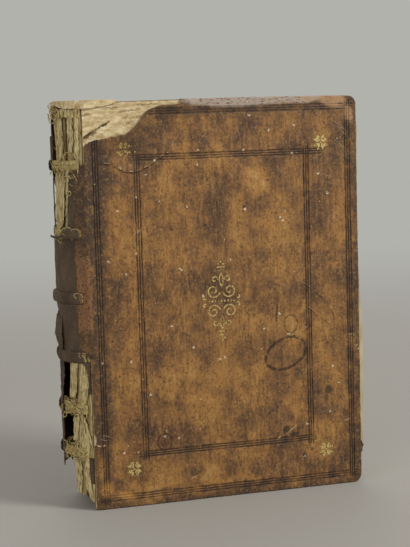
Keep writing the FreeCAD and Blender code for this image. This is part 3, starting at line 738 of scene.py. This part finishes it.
def frontLeatherMove(x, y, z):
    sideways, out, up = coverMove(x, y, z)
    cornerX, cornerZ, cornerDepth = cover["tornCorner"]
    if x < cornerX and z > cornerZ and y < cornerDepth:
        reach, above = distanceToLine(x, z, cover["tearLine"])
        out -= cover["tearLift"] * (1 - ramp(reach, 0, cover["tearLiftReach"]))
        jag = cover["tearJag"] * (1 - ramp(reach, 0, cover["tearJagReach"]))
        sideways += jag * wavy(x, 3, z, cover["tearJagSize"])
        up += jag * wavy(x, 9, z, cover["tearJagSize"])
        reach, above = distanceToLine(x, z, cover["creaseLine"])
        if above:
            out -= cover["creaseStep"] * (1 - ramp(reach, 0.5, cover["creaseReach"]))
    return sideways, out, up


def jointRub(x, z):
    # how far the grain is rubbed to rust along the joint: most between the middle bands and at the tail
    low, lowWhole, highWhole, high = calf["rustMiddle"]
    middle = ramp(z, low, lowWhole) * ramp(z, high, highWhole)
    tail = calf["rustTail"] * ramp(z, 60, 30)
    return ramp(x, 8, 1) * max(calf["rustLeast"], middle, tail)


def raggedPlace(x, z):
    # a place on the cover thrown off, so that a patch gets an uneven edge
    ragged = calf["patchRagged"]
    x += ragged * (wavy(x, 5, z, 13) + 0.5 * wavy(x, 5, z, 5))
    z += ragged * (wavy(x, 50, z, 13) + 0.5 * wavy(x, 50, z, 5))
    return x, z


def patchShare(spots, x, z):
    # how strong the strongest of the patches is at a place
    strongest = 0.0
    for atX, atZ, halfWidth, halfHeight, turn, softness, strength in spots:
        turned = math.radians(turn)
        across = (x - atX) * math.cos(turned) - (z - atZ) * math.sin(turned)
        upward = (x - atX) * math.sin(turned) + (z - atZ) * math.cos(turned)
        off = math.hypot(across / halfWidth, upward / halfHeight)
        if off < 1:
            strongest = max(strongest, strength * ramp(off, 1, 1 - softness))
    return strongest


def sideGrime(x, z):
    # the dirt of hands along a cover's sides
    reach = calf["grimeReach"]
    return max(ramp(x, reach, 3), ramp(x, coverWidth - reach, coverWidth - 2),
               ramp(z, reach * 0.6, 0), ramp(z, bookHeight - reach, bookHeight - 6))


def layPatches(piece, tanPatches, darkPatches):
    # tan and dark patches, grime and rust as attributes of the leather's points
    def tan(x, y, z):
        x, z = raggedPlace(x, z)
        return patchShare(tanPatches, x, z) * (1 - 0.7 * sideGrime(x, z))

    def dark(x, y, z):
        hinge = calf["hingeDark"] * ramp(x + 2 * wavy(x, 5, z, 20), *calf["hingeFade"])
        hinge *= 1 - 0.5 * ramp(z, 60, 10)
        x, z = raggedPlace(x, z)
        return max(patchShare(darkPatches, x, z), 0.75 * sideGrime(x, z), hinge)

    def rub(x, y, z):
        return jointRub(x, z)

    for name, rule in (("tan", tan), ("dark", dark), ("rub", rub)):
        writeAttribute(piece, name, rule)


def makeFrontLeather():
    piece = copyOfNode("front_cover_leather", "frontCoverLeather")
    cutAcross(0, 0, coverWidth, cover["cell"])
    cutAcross(2, 0, bookHeight, cover["cell"])
    bpy.ops.mesh.select_all(action="DESELECT")
    bpy.ops.object.mode_set(mode="OBJECT")
    for polygon in piece.data.polygons:
        x, y, z = toBench(polygon.center)
        if y < 1.2 and x < 82 and z > 265:
            toCrease = distanceToLine(x, z, cover["creaseLine"])[0]
            toTear = distanceToLine(x, z, cover["tearLine"])[0]
            polygon.select = toCrease < 3 or toTear < 2.5
    bpy.ops.object.mode_set(mode="EDIT")
    bpy.ops.mesh.subdivide(number_cuts=2)
    bpy.ops.object.mode_set(mode="OBJECT")
    layPatches(piece, calf["tanPatches"], calf["darkPatches"])
    bendPoints(piece, frontLeatherMove)
    return finishPiece(piece, "front_cover", frontCalf, ["front_cover_leather"], 40)


def makeBackLeather():
    piece = copyOfNode("back_cover_leather", "backCoverLeather")
    cutAcross(0, 0, coverWidth, cover["cell"] * 2)
    cutAcross(2, 0, bookHeight, cover["cell"] * 2)
    bpy.ops.object.mode_set(mode="OBJECT")

    def move(x, y, z):
        sideways, out, up = coverMove(x, bookDepth - y, z)
        return sideways, -out, up

    layPatches(piece, (), ())
    bendPoints(piece, move)
    return finishPiece(piece, "back_cover", backCalf, ["back_cover_leather"], 40)


# The front board's bare corner, whose sheets come apart
boardCorner = {
    "width": 90,
    "cell": 3,
    "bareHeights": (296, 304),
    "bareWidths": (70, 84),
    "roughness": 0.35,
    "split": 0.5,              # how far the outer sheets stand off at the head edge
    "splitHeights": (322, 329),
    "splitDepths": (1.5, 3),
}


def makeFrontBoard():
    piece = copyOfNode("front_board", "frontPasteboard")
    cutAcross(0, 0, boardCorner["width"], boardCorner["cell"])
    cutAcross(2, cover["bareFrom"], bookHeight, boardCorner["cell"])
    bpy.ops.object.mode_set(mode="OBJECT")

    def move(x, y, z):
        sideways, out, up = coverMove(x, y, z)
        if x < boardCorner["width"] - 5 and z > cover["bareFrom"]:
            bare = ramp(z, *boardCorner["bareHeights"]) * (1 - ramp(x, *boardCorner["bareWidths"]))
            apart = ramp(z, *boardCorner["splitHeights"]) * (1 - ramp(y, *boardCorner["splitDepths"]))
            out -= bare * (boardCorner["roughness"] * wavy(x, y, z, 4) + boardCorner["split"] * apart)
            up += bare * 0.5 * wavy(x, y, z, 5)
        return sideways, out, up

    bendPoints(piece, move)
    return finishPiece(piece, "front_cover", pasteboard, ["front_board"], 30)


# The gold is drawn thicker than leaf and just proud of the leather, so that it shows
gilt = {"fattened": 0.13, "proud": 0.06}


def makeGilt(nodeName, pieceName):
    piece = copyOfNode(nodeName, pieceName)
    bpy.ops.mesh.select_all(action="SELECT")
    bpy.ops.transform.shrink_fatten(value=gilt["fattened"] * mm)
    bpy.ops.object.mode_set(mode="OBJECT")

    def move(x, y, z):
        sideways, out, up = frontLeatherMove(x, y, z)
        return sideways, out - gilt["proud"], up

    bendPoints(piece, move)
    return finishPiece(piece, "front_cover", goldLeaf, [nodeName], 30)


makeFrontLeather()
makeBackLeather()
makeFrontBoard()
makeGilt("gilt_centre_ornament", "giltCentre")
for corner in ("head_spine", "head_fore", "tail_spine", "tail_fore"):
    makeGilt("gilt_ornament_" + corner, "gilt_" + corner)
print("covers done")


# The folds lie on an arc from shoulder to shoulder: its centre and radius from the supports' box
supportRise = 3.0
shoulderInset = 2.4
jointGap = 0.6
spineRound = -toBench(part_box("sewing_support_1")[0]).x - supportRise
shoulderHalf = bookDepth / 2 - shoulderInset
foldHeight = spineRound - jointGap
foldRadius = (shoulderHalf ** 2 + foldHeight ** 2) / (2 * foldHeight)
spineCentre = (foldRadius - spineRound, bookDepth / 2)


def onSpine(lift, angle, z):
    # a bench point over the folds; angle 0 is the middle of the spine, negative towards the front
    turn = math.radians(angle)
    return Vector((
        spineCentre[0] - (foldRadius + lift) * math.cos(turn),
        spineCentre[1] + (foldRadius + lift) * math.sin(turn),
        z,
    ))


def overFolds(x, y):
    # how far a point stands out of the folds' arc
    return math.hypot(x - spineCentre[0], y - spineCentre[1]) - foldRadius


# Text block: folded gatherings, worn at the tail, with the first leaf proud of the cover
leaves = {
    "cell": 5.0,
    "cutsFrom": 6,
    "foldCell": 3,
    "lengthCell": 9,
    "foldsWithin": (-3, 2),    # x up to which a point belongs wholly, and at all, to the folds
    "foreFade": (12, 5),       # from the cover's fore edge, where the ripple starts and is whole
    "foldWander": 0.7,
    "edgeRipple": 0.5,
    "leafWave": 1.6,
    # how far the folds have sunk at the rear half of the spine, as height and depth
    "sunk": ((0, 9.0), (60, 7.0), (122, 5.0), (135, 0.5), (225, 0.5), (240, 0.3), (330, 0.4)),
    "sunkFrom": -30,
    "sunkTo": -8,
}


def along(line, value):
    # reads a line of (value, reading) points
    previous = line[0]
    for point in line:
        if value <= point[0]:
            if point is previous:
                return point[1]
            share = (value - previous[0]) / (point[0] - previous[0])
            return previous[1] + share * (point[1] - previous[1])
        previous = point
    return line[-1][1]


def spineAngle(x, y):
    return math.degrees(math.atan2(y - spineCentre[1], spineCentre[0] - x))


def leavesMove(x, y, z):
    sideways = 0
    out = 0
    up = 0
    if x < leaves["foldsWithin"][1]:
        share = 1 - ramp(x, *leaves["foldsWithin"])
        sideways += share * leaves["foldWander"] * (wavy(0, y, z, 28) + 0.5 * wavy(x, y, z, 7))
        sunk = along(leaves["sunk"], z) * ramp(spineAngle(x, y), leaves["sunkFrom"], leaves["sunkTo"])
        sideways += share * sunk * ramp(y, bookDepth - 2, bookDepth - 12)
        out += share * leaves["foldWander"] * 0.6 * wavy(9, y, z, 24)
    fadeStart, fadeEnd = leaves["foreFade"]
    if x > coverWidth - fadeStart:
        share = ramp(x, coverWidth - fadeStart, coverWidth - fadeEnd)
        sideways += share * leaves["edgeRipple"] * wavy(0, y * 6, z, 22)
    if z > leavesHigh.z / mm - 1:
        up += leaves["edgeRipple"] * (wavy(x * 0.2, y * 3, 0, 6) - 0.6)
    if x > coverWidth - 3 and y < 10:
        out += leaves["leafWave"] * ramp(x, coverWidth - 3, coverWidth + 4) * (wavy(0, 0, z, 26) - 0.3)
    return sideways, out, up


def makeLeaves():
    piece = copyOfNode("text_block", "leavesAndGatherings")
    cutAcross(2, 0, bookHeight, leaves["cell"])
    cutAcross(1, leaves["cutsFrom"], bookDepth - leaves["cutsFrom"], leaves["foldCell"])
    cutAcross(0, 0, coverWidth + 5, leaves["lengthCell"])
    bpy.ops.object.mode_set(mode="OBJECT")

    # painted shade in the valleys between the folds: how deep a point lies below their arc
    def valleyShadeDepth(x, y, z):
        return ramp(-overFolds(x, y), 0.15, 1.1) if x < 0 else 0

    writeAttribute(piece, "dirt", valleyShadeDepth)
    bendPoints(piece, leavesMove)
    return finishPiece(piece, "text_block", leafPaper, ["text_block"], 50)


makeLeaves()
print("leaves done")


# Spine: what is left of its leather, the linings under it, and the supports
spine = {
    "cell": 4.0,
    "wander": 0.45,
    # how far the surviving leather stands off the folds, as height and lift
    "stand": ((120, 0.5), (150, 1.6), (200, 2.2), (226, 2.2), (240, 1.0)),
    "standAngles": (-45, -15),
}


def makeSpineLeather(nodeName, pieceName):
    piece = copyOfNode(nodeName, pieceName)
    cutAcross(2, 0, bookHeight, spine["cell"])
    cutAcross(1, 0, bookDepth, spine["cell"])
    bpy.ops.object.mode_set(mode="OBJECT")

    def rub(x, y, z):
        return max(0.7 * ramp(overFolds(x, y), 2.8, 3.9), jointRub(y, z))

    def move(x, y, z):
        wander = spine["wander"]
        stand = along(spine["stand"], z) * ramp(spineAngle(x, y), *spine["standAngles"])
        stand *= ramp(y, bookDepth - 3, bookDepth - 15)
        return (
            wander * (wavy(x, y, z, 9) - 0.4) + 0.25 * wavy(x, y, z, 3) - stand,
            wander * wavy(x, y + 60, z, 9),
            0.8 * wander * wavy(x + 30, y, z, 6),
        )

    writeAttribute(piece, "rub", rub)
    bendPoints(piece, move)
    return finishPiece(piece, "text_block", spineCalf, [nodeName], 45)


makeSpineLeather("spine_leather", "spineLeather")
makeSpineLeather("rear_joint_leather", "rearJointLeather")
makeSpineLeather("tail_joint_leather", "tailJointLeather")
print("spine leather done")


def makeSheet(name, columns, rows, thickness, place):
    # a flat grid whose points are laid by place(u, v), u and v from 0 to 1, then given its thickness
    bpy.ops.object.select_all(action="DESELECT")
    bpy.ops.mesh.primitive_grid_add(x_subdivisions=columns, y_subdivisions=rows, size=1)
    piece = bpy.context.active_object
    piece.name = name
    piece.data.name = name
    for vertex in piece.data.vertices:
        vertex.co = fromBench(*place(vertex.co.x + 0.5, vertex.co.y + 0.5))
    solid = piece.modifiers.new("thickness", "SOLIDIFY")
    solid.thickness = thickness * mm
    solid.offset = 0
    bpy.ops.object.modifier_apply(modifier=solid.name)
    return piece


# Strips on the spine, as height and angle of their edges, lowest first, and the lift of each edge.
# Torn linings hang over the folds, and flaps of the old leather, where leather is set, stand up
# behind them, save the dark strip under the head flap, which is painted shade.
strips = {
    "ribbonRear": {
        "left": ((92, -23), (97, -24), (126, -25), (129, -26)),
        "right": ((92, -31), (97, -35), (126, -39), (129, -39)),
        "lift": ((92, 2.4, 2.6), (129, 1.2, 1.6)), "wrinkle": 0.35, "ragged": 1.2,
    },
    "ribbonFront": {
        "left": ((87, -42), (100, -40), (124, -40)),
        "right": ((87, -45), (92, -49), (103, -51), (112, -51), (124, -50)),
        "lift": ((87, 2.2, 1.4), (124, 1.4, 0.8)), "wrinkle": 0.3, "ragged": 1.0,
    },
    "ribbonMiddleRear": {
        "left": ((57, -26), (76, -27.5)), "right": ((57, -33), (76, -37)),
        "lift": ((57, 1.8, 1.8), (76, 1.6, 1.6)), "wrinkle": 0.4, "ragged": 0.8,
    },
    "tornFan": {
        "left": ((48, -38), (60, -41), (72, -42), (80, -41)),
        "right": ((48, -48), (52, -51), (57, -52.5), (66, -50), (80, -43.5)),
        "lift": ((48, 2.6, 1.4), (80, 2.4, 2.6)), "wrinkle": 0.6, "ragged": 1.4,
    },
    "ribbonTailRear": {
        "left": ((16, -31), (22, -29), (40, -27)), "right": ((14, -37), (22, -38), (40, -38)),
        "lift": ((14, 2.0, 2.0), (40, 1.6, 1.8)), "wrinkle": 0.5, "ragged": 1.4,
    },
    "ribbonTailFront": {
        "left": ((6, -52), (18, -43), (44, -42)), "right": ((6, -54), (14, -51), (24, -49), (44, -48)),
        "lift": ((6, 0.6, 0.4), (18, 1.6, 1.2), (44, 1.8, 1.4)), "wrinkle": 0.4, "ragged": 1.0,
    },
    "ribbonLong": {
        "left": ((231, -8), (240, -6), (274, -9)), "right": ((229, -18), (236, -25), (274, -29)),
        "lift": ((229, 2.6, 2.4), (274, 2.2, 2.0)), "wrinkle": 0.4, "ragged": 1.2,
    },
    "ribbonNarrow": {
        "left": ((240, -28), (255, -30), (281, -31)), "right": ((240, -30), (255, -33), (281, -36)),
        "lift": ((240, 2.2, 2.2), (281, 1.8, 1.8)), "wrinkle": 0.3, "ragged": 0.8,
    },
    "headStrip": {
        "left": ((274, -48.5), (285, -47.5), (293, -46), (321, -46.5)),
        "right": ((274, -49.5), (285, -50), (300, -51), (321, -51.5)),
        "lift": ((274, 2.2, 1.6), (321, 2.0, 1.0)), "wrinkle": 0.3, "ragged": 0.8,
    },
    "headStripMiddle": {
        "left": ((292, -40), (300, -37), (321, -36)), "right": ((292, -42), (300, -44.5), (321, -43.5)),
        "lift": ((292, 2.6, 2.2), (321, 1.8, 2.0)), "wrinkle": 0.6, "ragged": 1.4,
    },
    "headStripRear": {
        "left": ((286, -20), (300, -18), (321, -17)), "right": ((286, -27), (300, -28), (321, -27)),
        "lift": ((286, 1.8, 1.8), (321, 2.4, 2.2)), "wrinkle": 0.5, "ragged": 1.2,
    },
    "headBand": {
        "left": ((319.5, -24), (325, -22)), "right": ((318.5, -52.5), (324, -53)),
        "lift": ((318.5, 3.2, 1.4), (325, 3.2, 1.2)), "wrinkle": 0.3, "ragged": 0.7,
    },
    # painted shade: a strip of the dark spine leather laid under the head flap, so that the gap below the
    # flap reads dark
    "headSlit": {
        "left": ((322, -6), (329, -8)), "right": ((322, -50), (329, -50)),
        "lift": ((322, 1.4, 0.8), (329, 1.4, 0.8)), "leather": True, "wrinkle": 0.2, "ragged": 0.6,
    },
    "rearFlapLow": {
        "left": ((34, 12), (50, 16), (96, 16), (132, 14)),
        "right": ((34, -6), (44, -10), (90, -9), (112, -13), (132, -15)),
        "lift": ((34, 1.6, 3.4), (84, 1.6, 4.4), (110, 1.6, 3.0), (132, 2.6, 3.6)),
        "leather": True, "wrinkle": 0.8, "ragged": 1.8,
    },
    "rearFlapBulge": {
        "left": ((131, 13), (158, 14)), "right": ((131, -13), (140, -17), (158, -14)),
        "lift": ((131, 2.6, 3.4), (142, 5.6, 5.0), (158, 3.4, 3.0)),
        "leather": True, "wrinkle": 0.4, "ragged": 1.0,
    },
    "rearFlapHead": {
        "left": ((228, 12), (300, 12)), "right": ((228, -8), (240, -3), (270, -4), (300, 2)),
        "lift": ((228, 1.6, 3.0), (262, 1.6, 3.0), (300, 1.2, 2.0)),
        "leather": True, "wrinkle": 0.6, "ragged": 1.4,
    },
}


stripGrid = {
    "row": 1.2,
    "column": 0.9,
    "degree": 0.65,            # width of a degree on the folds
    "tip": 0.12,               # share of the length over which an end is torn
    "thickness": 0.45,
}


def makeStrip(name, look):
    low = min(look["left"][0][0], look["right"][0][0])
    high = max(look["left"][-1][0], look["right"][-1][0])
    leftLift = [(z, left) for z, left, right in look["lift"]]
    rightLift = [(z, right) for z, left, right in look["lift"]]
    seed = len(name) * 17

    def place(u, v):
        z = low + (high - low) * v
        left = along(look["left"], z)
        right = along(look["right"], z)
        ragged = look["ragged"] * (wavy(seed, u * 9, z, 4) + 0.6 * wavy(seed, u * 9, z, 1.6))
        edge = abs(2 * u - 1)
        angle = left + (right - left) * u + ragged * edge
        tip = 1 - ramp(min(v, 1 - v), 0, stripGrid["tip"])
        z += 1.6 * look["ragged"] * tip * wavy(seed, angle, 3, 2.2)
        lift = along(leftLift, z) * (1 - u) + along(rightLift, z) * u
        lift += look["wrinkle"] * (wavy(angle * 0.5, seed, z * 0.35, 1.3) + 0.5 * wavy(angle, seed, z, 2.0))
        return onSpine(max(0.4, lift), angle, z)

    rows = max(6, int((high - low) / stripGrid["row"]))
    across = abs(look["left"][0][1] - look["right"][-1][1]) * stripGrid["degree"]
    piece = makeSheet("strip_" + name, max(6, int(across / stripGrid["column"])), rows,
                      stripGrid["thickness"], place)
    if look.get("leather"):
        return finishPiece(piece, "text_block", spineCalf)
    return finishPiece(piece, "text_block", liningPaper)


for stripName, look in strips.items():
    makeStrip(stripName, look)
print("torn strips done")


# The pasted sheet that still lies over the head of the spine, lifted at its edge
headFlap = {
    "turnAt": 0.5,             # share of its length that goes round the spine
    # its lower edge, as share of its length and height
    "lowEdge": (
        (0.0, 329.6), (0.1, 328.6), (0.2, 326.8), (0.3, 325.4), (0.5, 325.0), (0.8, 326.6), (1.0, 328.8),
    ),
    "stand": ((0.0, 3.4), (0.3, 4.2), (0.5, 1.5)),
    "top": 331.6,
    "overTop": 9.0,
    "onCover": 27.0,
    "angles": (-6, -56),
    "upright": 0.6,            # share of its depth that stands, before it turns over the head
    "turnDrop": 0.9,
}


def headFlapPlace(u, v):
    turnAt = headFlap["turnAt"]
    low = along(headFlap["lowEdge"], u) + 0.5 * wavy(u * 60, 3, 0, 4)
    top = headFlap["top"] - 1.2 * ramp(u, 0.12, 0.0)
    upright = headFlap["upright"]
    over = max(0, (v - upright) / (1 - upright))
    z = low + (top - low) * min(1, v / upright) - headFlap["turnDrop"] * over
    back = headFlap["overTop"] * over
    if u < turnAt:
        first, last = headFlap["angles"]
        lift = along(headFlap["stand"], u) - back * 0.9 + 0.4 * wavy(u * 50, z, 7, 5)
        x, y, z = onSpine(lift, first + (last - first) * u / turnAt, z)
    else:
        share = (u - turnAt) / (1 - turnAt)
        x = 1.0 + (headFlap["onCover"] - 1.0) * share
        y = -0.7 - coverFace(x, z) - 0.3 * wavy(x, z, 0, 5) + back
        x += 0.2 * back
    return x, y, z


# it lies pasted over the spine and onto the cover, turning round the shoulder between them
flap = makeSheet("headFlap", 46, 12, 0.7, headFlapPlace)
finishPiece(flap, None, pasteboard)
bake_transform(flap)


# A roll of old leather that hangs by the rear joint at the head
roll = {"angle": 9, "lift": 1.6, "low": 279, "length": 25, "turns": 1.1, "radius": 1.2, "widening": 0.9}


def rollPlace(u, v):
    turn = 2 * math.pi * roll["turns"] * u
    radius = roll["radius"] + roll["widening"] * u
    height = roll["low"] + roll["length"] * v + 0.8 * wavy(u * 9, 1, v, 3)
    x, y, z = onSpine(roll["lift"], roll["angle"], height)
    return x + radius * math.cos(turn), y + radius * math.sin(turn) * 1.3 + 0.5 * wavy(0, 0, z, 7), z


rolled = makeSheet("rolledLeather", 16, 14, 0.5, rollPlace)
finishPiece(rolled, "text_block", spineCalf)


# A curled flake of the cover's leather at its fore edge
flakeLook = {"high": 35, "length": 7.5, "root": 1.5, "reach": 1.6, "bulge": 1.5, "ragged": 1.3, "curl": 1.3}


def flakePlace(u, v):
    reach = flakeLook["reach"] + flakeLook["bulge"] * math.sin(math.pi * v)
    reach += flakeLook["ragged"] * wavy(3, v * 9, 0, 1.7)
    x = coverWidth - flakeLook["root"] + reach * u
    z = flakeLook["high"] - flakeLook["length"] * v + 1.5 * u * (0.5 - v) + 1.1 * wavy(u * 6, v * 8, 0, 1.8)
    return x, 0.4 - flakeLook["curl"] * u * u - coverFace(coverWidth, z) * (1 - u), z


flake = makeSheet("leatherFlake", 7, 8, 0.6, flakePlace)
layPatches(flake, (), ((233, 31, 30, 30, 0, 0.1, 0.7),))
finishPiece(flake, "front_cover", frontCalf)
print("head flap and loose leather done")


# Leather over the joints, from the spine's leather round the shoulder onto the covers' faces
jointSheet = {
    "frontHeights": (126.0, 281.0),
    "backHeights": (30.0, 300.0),
    "angles": (-41, -56),      # on the folds, from its edge to where it leaves them
    "onFolds": 0.55,           # share of its width
    "coverSpan": (-1.6, 6.5),
    "stand": 1.25,             # off the folds, over the spine's leather
    "ease": 0.25,
}


def jointPath(share, z):
    # across the joint: from the spine's leather round the shoulder and onto the cover's face
    onFolds = jointSheet["onFolds"]
    if share < onFolds:
        first, last = jointSheet["angles"]
        angle = first + (last - first) * share / onFolds
        lift = jointSheet["stand"] + along(spine["stand"], z) * ramp(angle, *spine["standAngles"])
        return onSpine(lift + jointSheet["ease"], angle, z)
    inner, outer = jointSheet["coverSpan"]
    x = inner + (outer - inner) * (share - onFolds) / (1 - onFolds)
    top = 0.55 - 1.0 * ramp(x, -1.8, 0.6)
    sunk = 0.35 * ramp(x, outer - 2.5, outer)
    return x, top - coverFace(max(0, x), z) * ramp(x, inner, 0.6) + sunk, z


def makeJointLeather(front):
    low, high = jointSheet["frontHeights" if front else "backHeights"]

    def place(u, v):
        z = low + (high - low) * v
        x, y, z = jointPath(u, z)
        rough = 0.22 * wavy(x, y, z, 3) + 0.2 * wavy(x, y + 9, z, 8)
        tip = 1 - ramp(min(v, 1 - v), 0, 0.04)
        z += 2.0 * tip * wavy(u * 14, 2, low + v, 2.0)
        if not front:
            y = bookDepth - y
        return x - rough * 0.5, y - rough * (0.5 if front else -0.5), z

    name = "jointLeatherFront" if front else "jointLeatherBack"
    piece = makeSheet(name, 18, int((high - low) / 2), 0.4, place)
    layPatches(piece, (), ((0, 200, 30, 400, 0, 0.1, 0.95),))
    finishPiece(piece, None, frontCalf if front else backCalf)
    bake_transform(piece)


makeJointLeather(True)
makeJointLeather(False)
print("joint leather done")


# Supports: hemp cords whose strands have come loose, with snarls of sewing thread round them
supports = {
    "roughness": 0.7,
    "thread": 0.34,
    "seed": 17,
    "cell": 1.2,
    "arcCell": 2,
    "cutWithin": 6,
    "frontAngle": -49.0,       # threads stay clear of the opening cover
    # for each from the tail: loops, angles they lie between, spread in height, size of loop
    "snarls": (
        (54, -40, -8, 5.5, 3.2), (50, -45, -10, 6.0, 3.4), (10, -50, -20, 3.0, 2.2),
        (8, -47, -30, 3.0, 1.8), (26, -40, -8, 3.5, 2.6), (44, -40, -6, 4.5, 2.8),
    ),
    "headTuft": (34, -22, 0, 5.0, 2.4),
    "looseThreads": (26, -40, -12, 34.0, 2.6),
}


def makeSupport(number):
    nodeName = "sewing_support_%d" % number
    piece = copyOfNode(nodeName, "frayedSupport_%d" % number)
    low = supportHeights[number - 1] - supports["cutWithin"]
    cutAcross(1, 0, bookDepth, supports["arcCell"])
    cutAcross(2, low, low + 2 * supports["cutWithin"], supports["cell"])
    bpy.ops.object.mode_set(mode="OBJECT")

    def move(x, y, z):
        size = supports["roughness"]
        return (
            size * (wavy(x, y, z, 2.2) + 0.5 * wavy(x, y, z, 5) + 0.5),
            0.5 * size * wavy(x, y + 20, z, 3),
            size * wavy(x + 20, y, z, 4) + 0.6 * wavy(number, y, 0, 9),
        )

    bendPoints(piece, move)
    return finishPiece(piece, "text_block", hempCord, [nodeName], 60)


def threadLoop(dice, angle, z, size):
    # one loose loop of thread: part of a turn, then a tail that wanders off
    points = []
    heading = dice.uniform(0, 2 * math.pi)
    lift = dice.uniform(0.6, 4.2)
    tilt = dice.gauss(0, 1.2)
    turning = dice.uniform(0.35, 1.0) * dice.choice((-1, 1))
    stepLength = size * dice.uniform(0.45, 0.8)
    for step in range(dice.randint(5, 12)):
        points.append(onSpine(max(0.5, lift), angle, z))
        heading += turning + dice.gauss(0, 0.25)
        angle += math.degrees(stepLength * math.cos(heading) / foldRadius)
        angle = max(supports["frontAngle"], angle)
        z += stepLength * math.sin(heading)
        lift = min(6.5, lift + tilt * math.sin(heading) * 0.6 + dice.gauss(0, 0.3))
    return points


def makeSnarl(name, height, look, dice):
    loops, first, last, spread, size = look
    curve = bpy.data.curves.new(name, "CURVE")
    curve.dimensions = "3D"
    curve.bevel_depth = supports["thread"] * mm
    curve.bevel_resolution = 0
    curve.resolution_u = 3
    for loop in range(loops):
        points = threadLoop(dice, dice.uniform(first, last), height + dice.gauss(0, spread * 0.5), size)
        spline = curve.splines.new("NURBS")
        spline.points.add(len(points) - 1)
        thick = dice.uniform(0.6, 1.5)
        for step, (point, place) in enumerate(zip(spline.points, points)):
            place = fromBench(*place)
            point.co = (place.x, place.y, place.z, 1)
            point.radius = thick * (1 - 0.5 * step / len(points))
        spline.order_u = 3
        spline.use_endpoint_u = True
    piece = bpy.data.objects.new(curve.name, curve)
    bpy.context.scene.collection.objects.link(piece)
    selectOnly(piece)
    bpy.ops.object.convert(target="MESH")
    return finishPiece(bpy.context.active_object, "text_block", hempCord)


dice = random.Random(supports["seed"])
for number in range(1, len(supportHeights) + 1):
    makeSupport(number)
    makeSnarl("threadSnarl_%d" % number, supportHeights[number - 1], supports["snarls"][number - 1], dice)
makeSnarl("headTuft", 323, supports["headTuft"], dice)
makeSnarl("looseThreads", 268, supports["looseThreads"], dice)
print("supports and threads done")


# Solids whose own shape is right get their finish
finishes = {
    "front_slip": hempCord,
    "back_slip": hempCord,
    "front_pastedown": endpaper,
    "back_pastedown": endpaper,
    "back_board": pasteboard,
    "spine_lining_remnant": liningPaper,
    "head_lining_remnant": liningPaper,
}
for nodeName, node in frame["nodes"].items():
    for start, material in finishes.items():
        if nodeName.startswith(start):
            node.data.materials.clear()
            node.data.materials.append(material)
print("carried-over solids done")


# Stage, light and camera
stageLook = {
    "floorHex": "#aeaba4",
    "backdropHex": "#b2b2ad",
    "floorSize": 12.0,
    "fadeStart": 0.5,
    "fadeEnd": 2.2,
    "ambient": 0.4,
}


def makeStage():
    bpy.ops.object.select_all(action="DESELECT")
    bpy.ops.mesh.primitive_plane_add(size=stageLook["floorSize"], location=(0, 0, cadBox[0].z - 0.0002))
    floor = bpy.context.active_object
    floor.name = "studioFloor"
    material, tree, place = startMaterial("matStudioPaper")
    spot = addNode(tree, "TexCoord")
    reach = addNode(tree, "VectorMath", {"operation": "LENGTH"}, {0: spot.outputs["Object"]})
    far = addNode(tree, "MapRange", {
        "interpolation_type": "SMOOTHSTEP",
        "From Min": stageLook["fadeStart"], "From Max": stageLook["fadeEnd"],
    }, {"Value": reach.outputs["Value"]})
    path = addNode(tree, "LightPath")
    seen = addNode(tree, "Math", {"operation": "MAXIMUM"},
                   {0: path.outputs["Is Camera Ray"], 1: path.outputs["Is Glossy Ray"]})
    share = addNode(tree, "Math", {"operation": "MULTIPLY"}, {0: far, 1: seen})
    paper = addNode(tree, "BsdfPrincipled", {"Base Color": colour(stageLook["floorHex"]), "Roughness": 0.9})
    glow = addNode(tree, "Emission", {"Color": colour(stageLook["backdropHex"]), "Strength": 1.0})
    both = addNode(tree, "MixShader", links={0: share, 1: paper, 2: glow})
    addNode(tree, "OutputMaterial", links={"Surface": both})
    floor.data.materials.append(material)

    world = bpy.data.worlds.new("softStudio")
    world.use_nodes = True
    tree = world.node_tree
    tree.nodes.clear()
    path = addNode(tree, "LightPath")
    seen = addNode(tree, "Math", {"operation": "MAXIMUM"},
                   {0: path.outputs["Is Camera Ray"], 1: path.outputs["Is Transmission Ray"]})
    light = addNode(tree, "Background", {"Color": colour("#fbf8f2"), "Strength": stageLook["ambient"]})
    backdrop = addNode(tree, "Background", {"Color": colour(stageLook["backdropHex"]), "Strength": 1.0})
    both = addNode(tree, "MixShader", links={0: seen, 1: light, 2: backdrop})
    addNode(tree, "OutputWorld", links={"Surface": both})
    bpy.context.scene.world = world


softboxes = (
    # name, place, size, power, aimed at the book's middle
    ("keySoftbox", (1.35, -1.25, 1.3), 0.6, 27.0),
    ("fillSoftbox", (-1.6, -1.3, 0.9), 1.4, 9.0),
    ("backSoftbox", (0.4, 1.9, 1.5), 1.4, 10.0),
)


def makeLights():
    target = Vector((0, 0, bookHeight / 2 * mm))
    for name, place, size, power in softboxes:
        bpy.ops.object.light_add(type="AREA", location=place)
        lamp = bpy.context.active_object
        lamp.name = name
        lamp.data.size = size
        lamp.data.energy = power
        lamp.rotation_euler = (target - Vector(place)).to_track_quat("-Z", "Y").to_euler()


# where the photographer stood: metres, degrees, long lens
camera = {
    "place": (-0.33783, -1.12343, 0.32008),
    "turn": (83.401, 1.676, -16.855),
    "lens": 92.1,
}


def makeCamera():
    bpy.ops.object.camera_add(location=camera["place"])
    lens = bpy.context.active_object
    lens.rotation_euler = [math.radians(angle) for angle in camera["turn"]]
    lens.data.lens = camera["lens"]
    lens.data.sensor_width = 36
    bpy.context.scene.camera = lens


makeStage()
makeLights()
makeCamera()
bpy.context.scene.view_settings.view_transform = "Standard"
print("stage done")
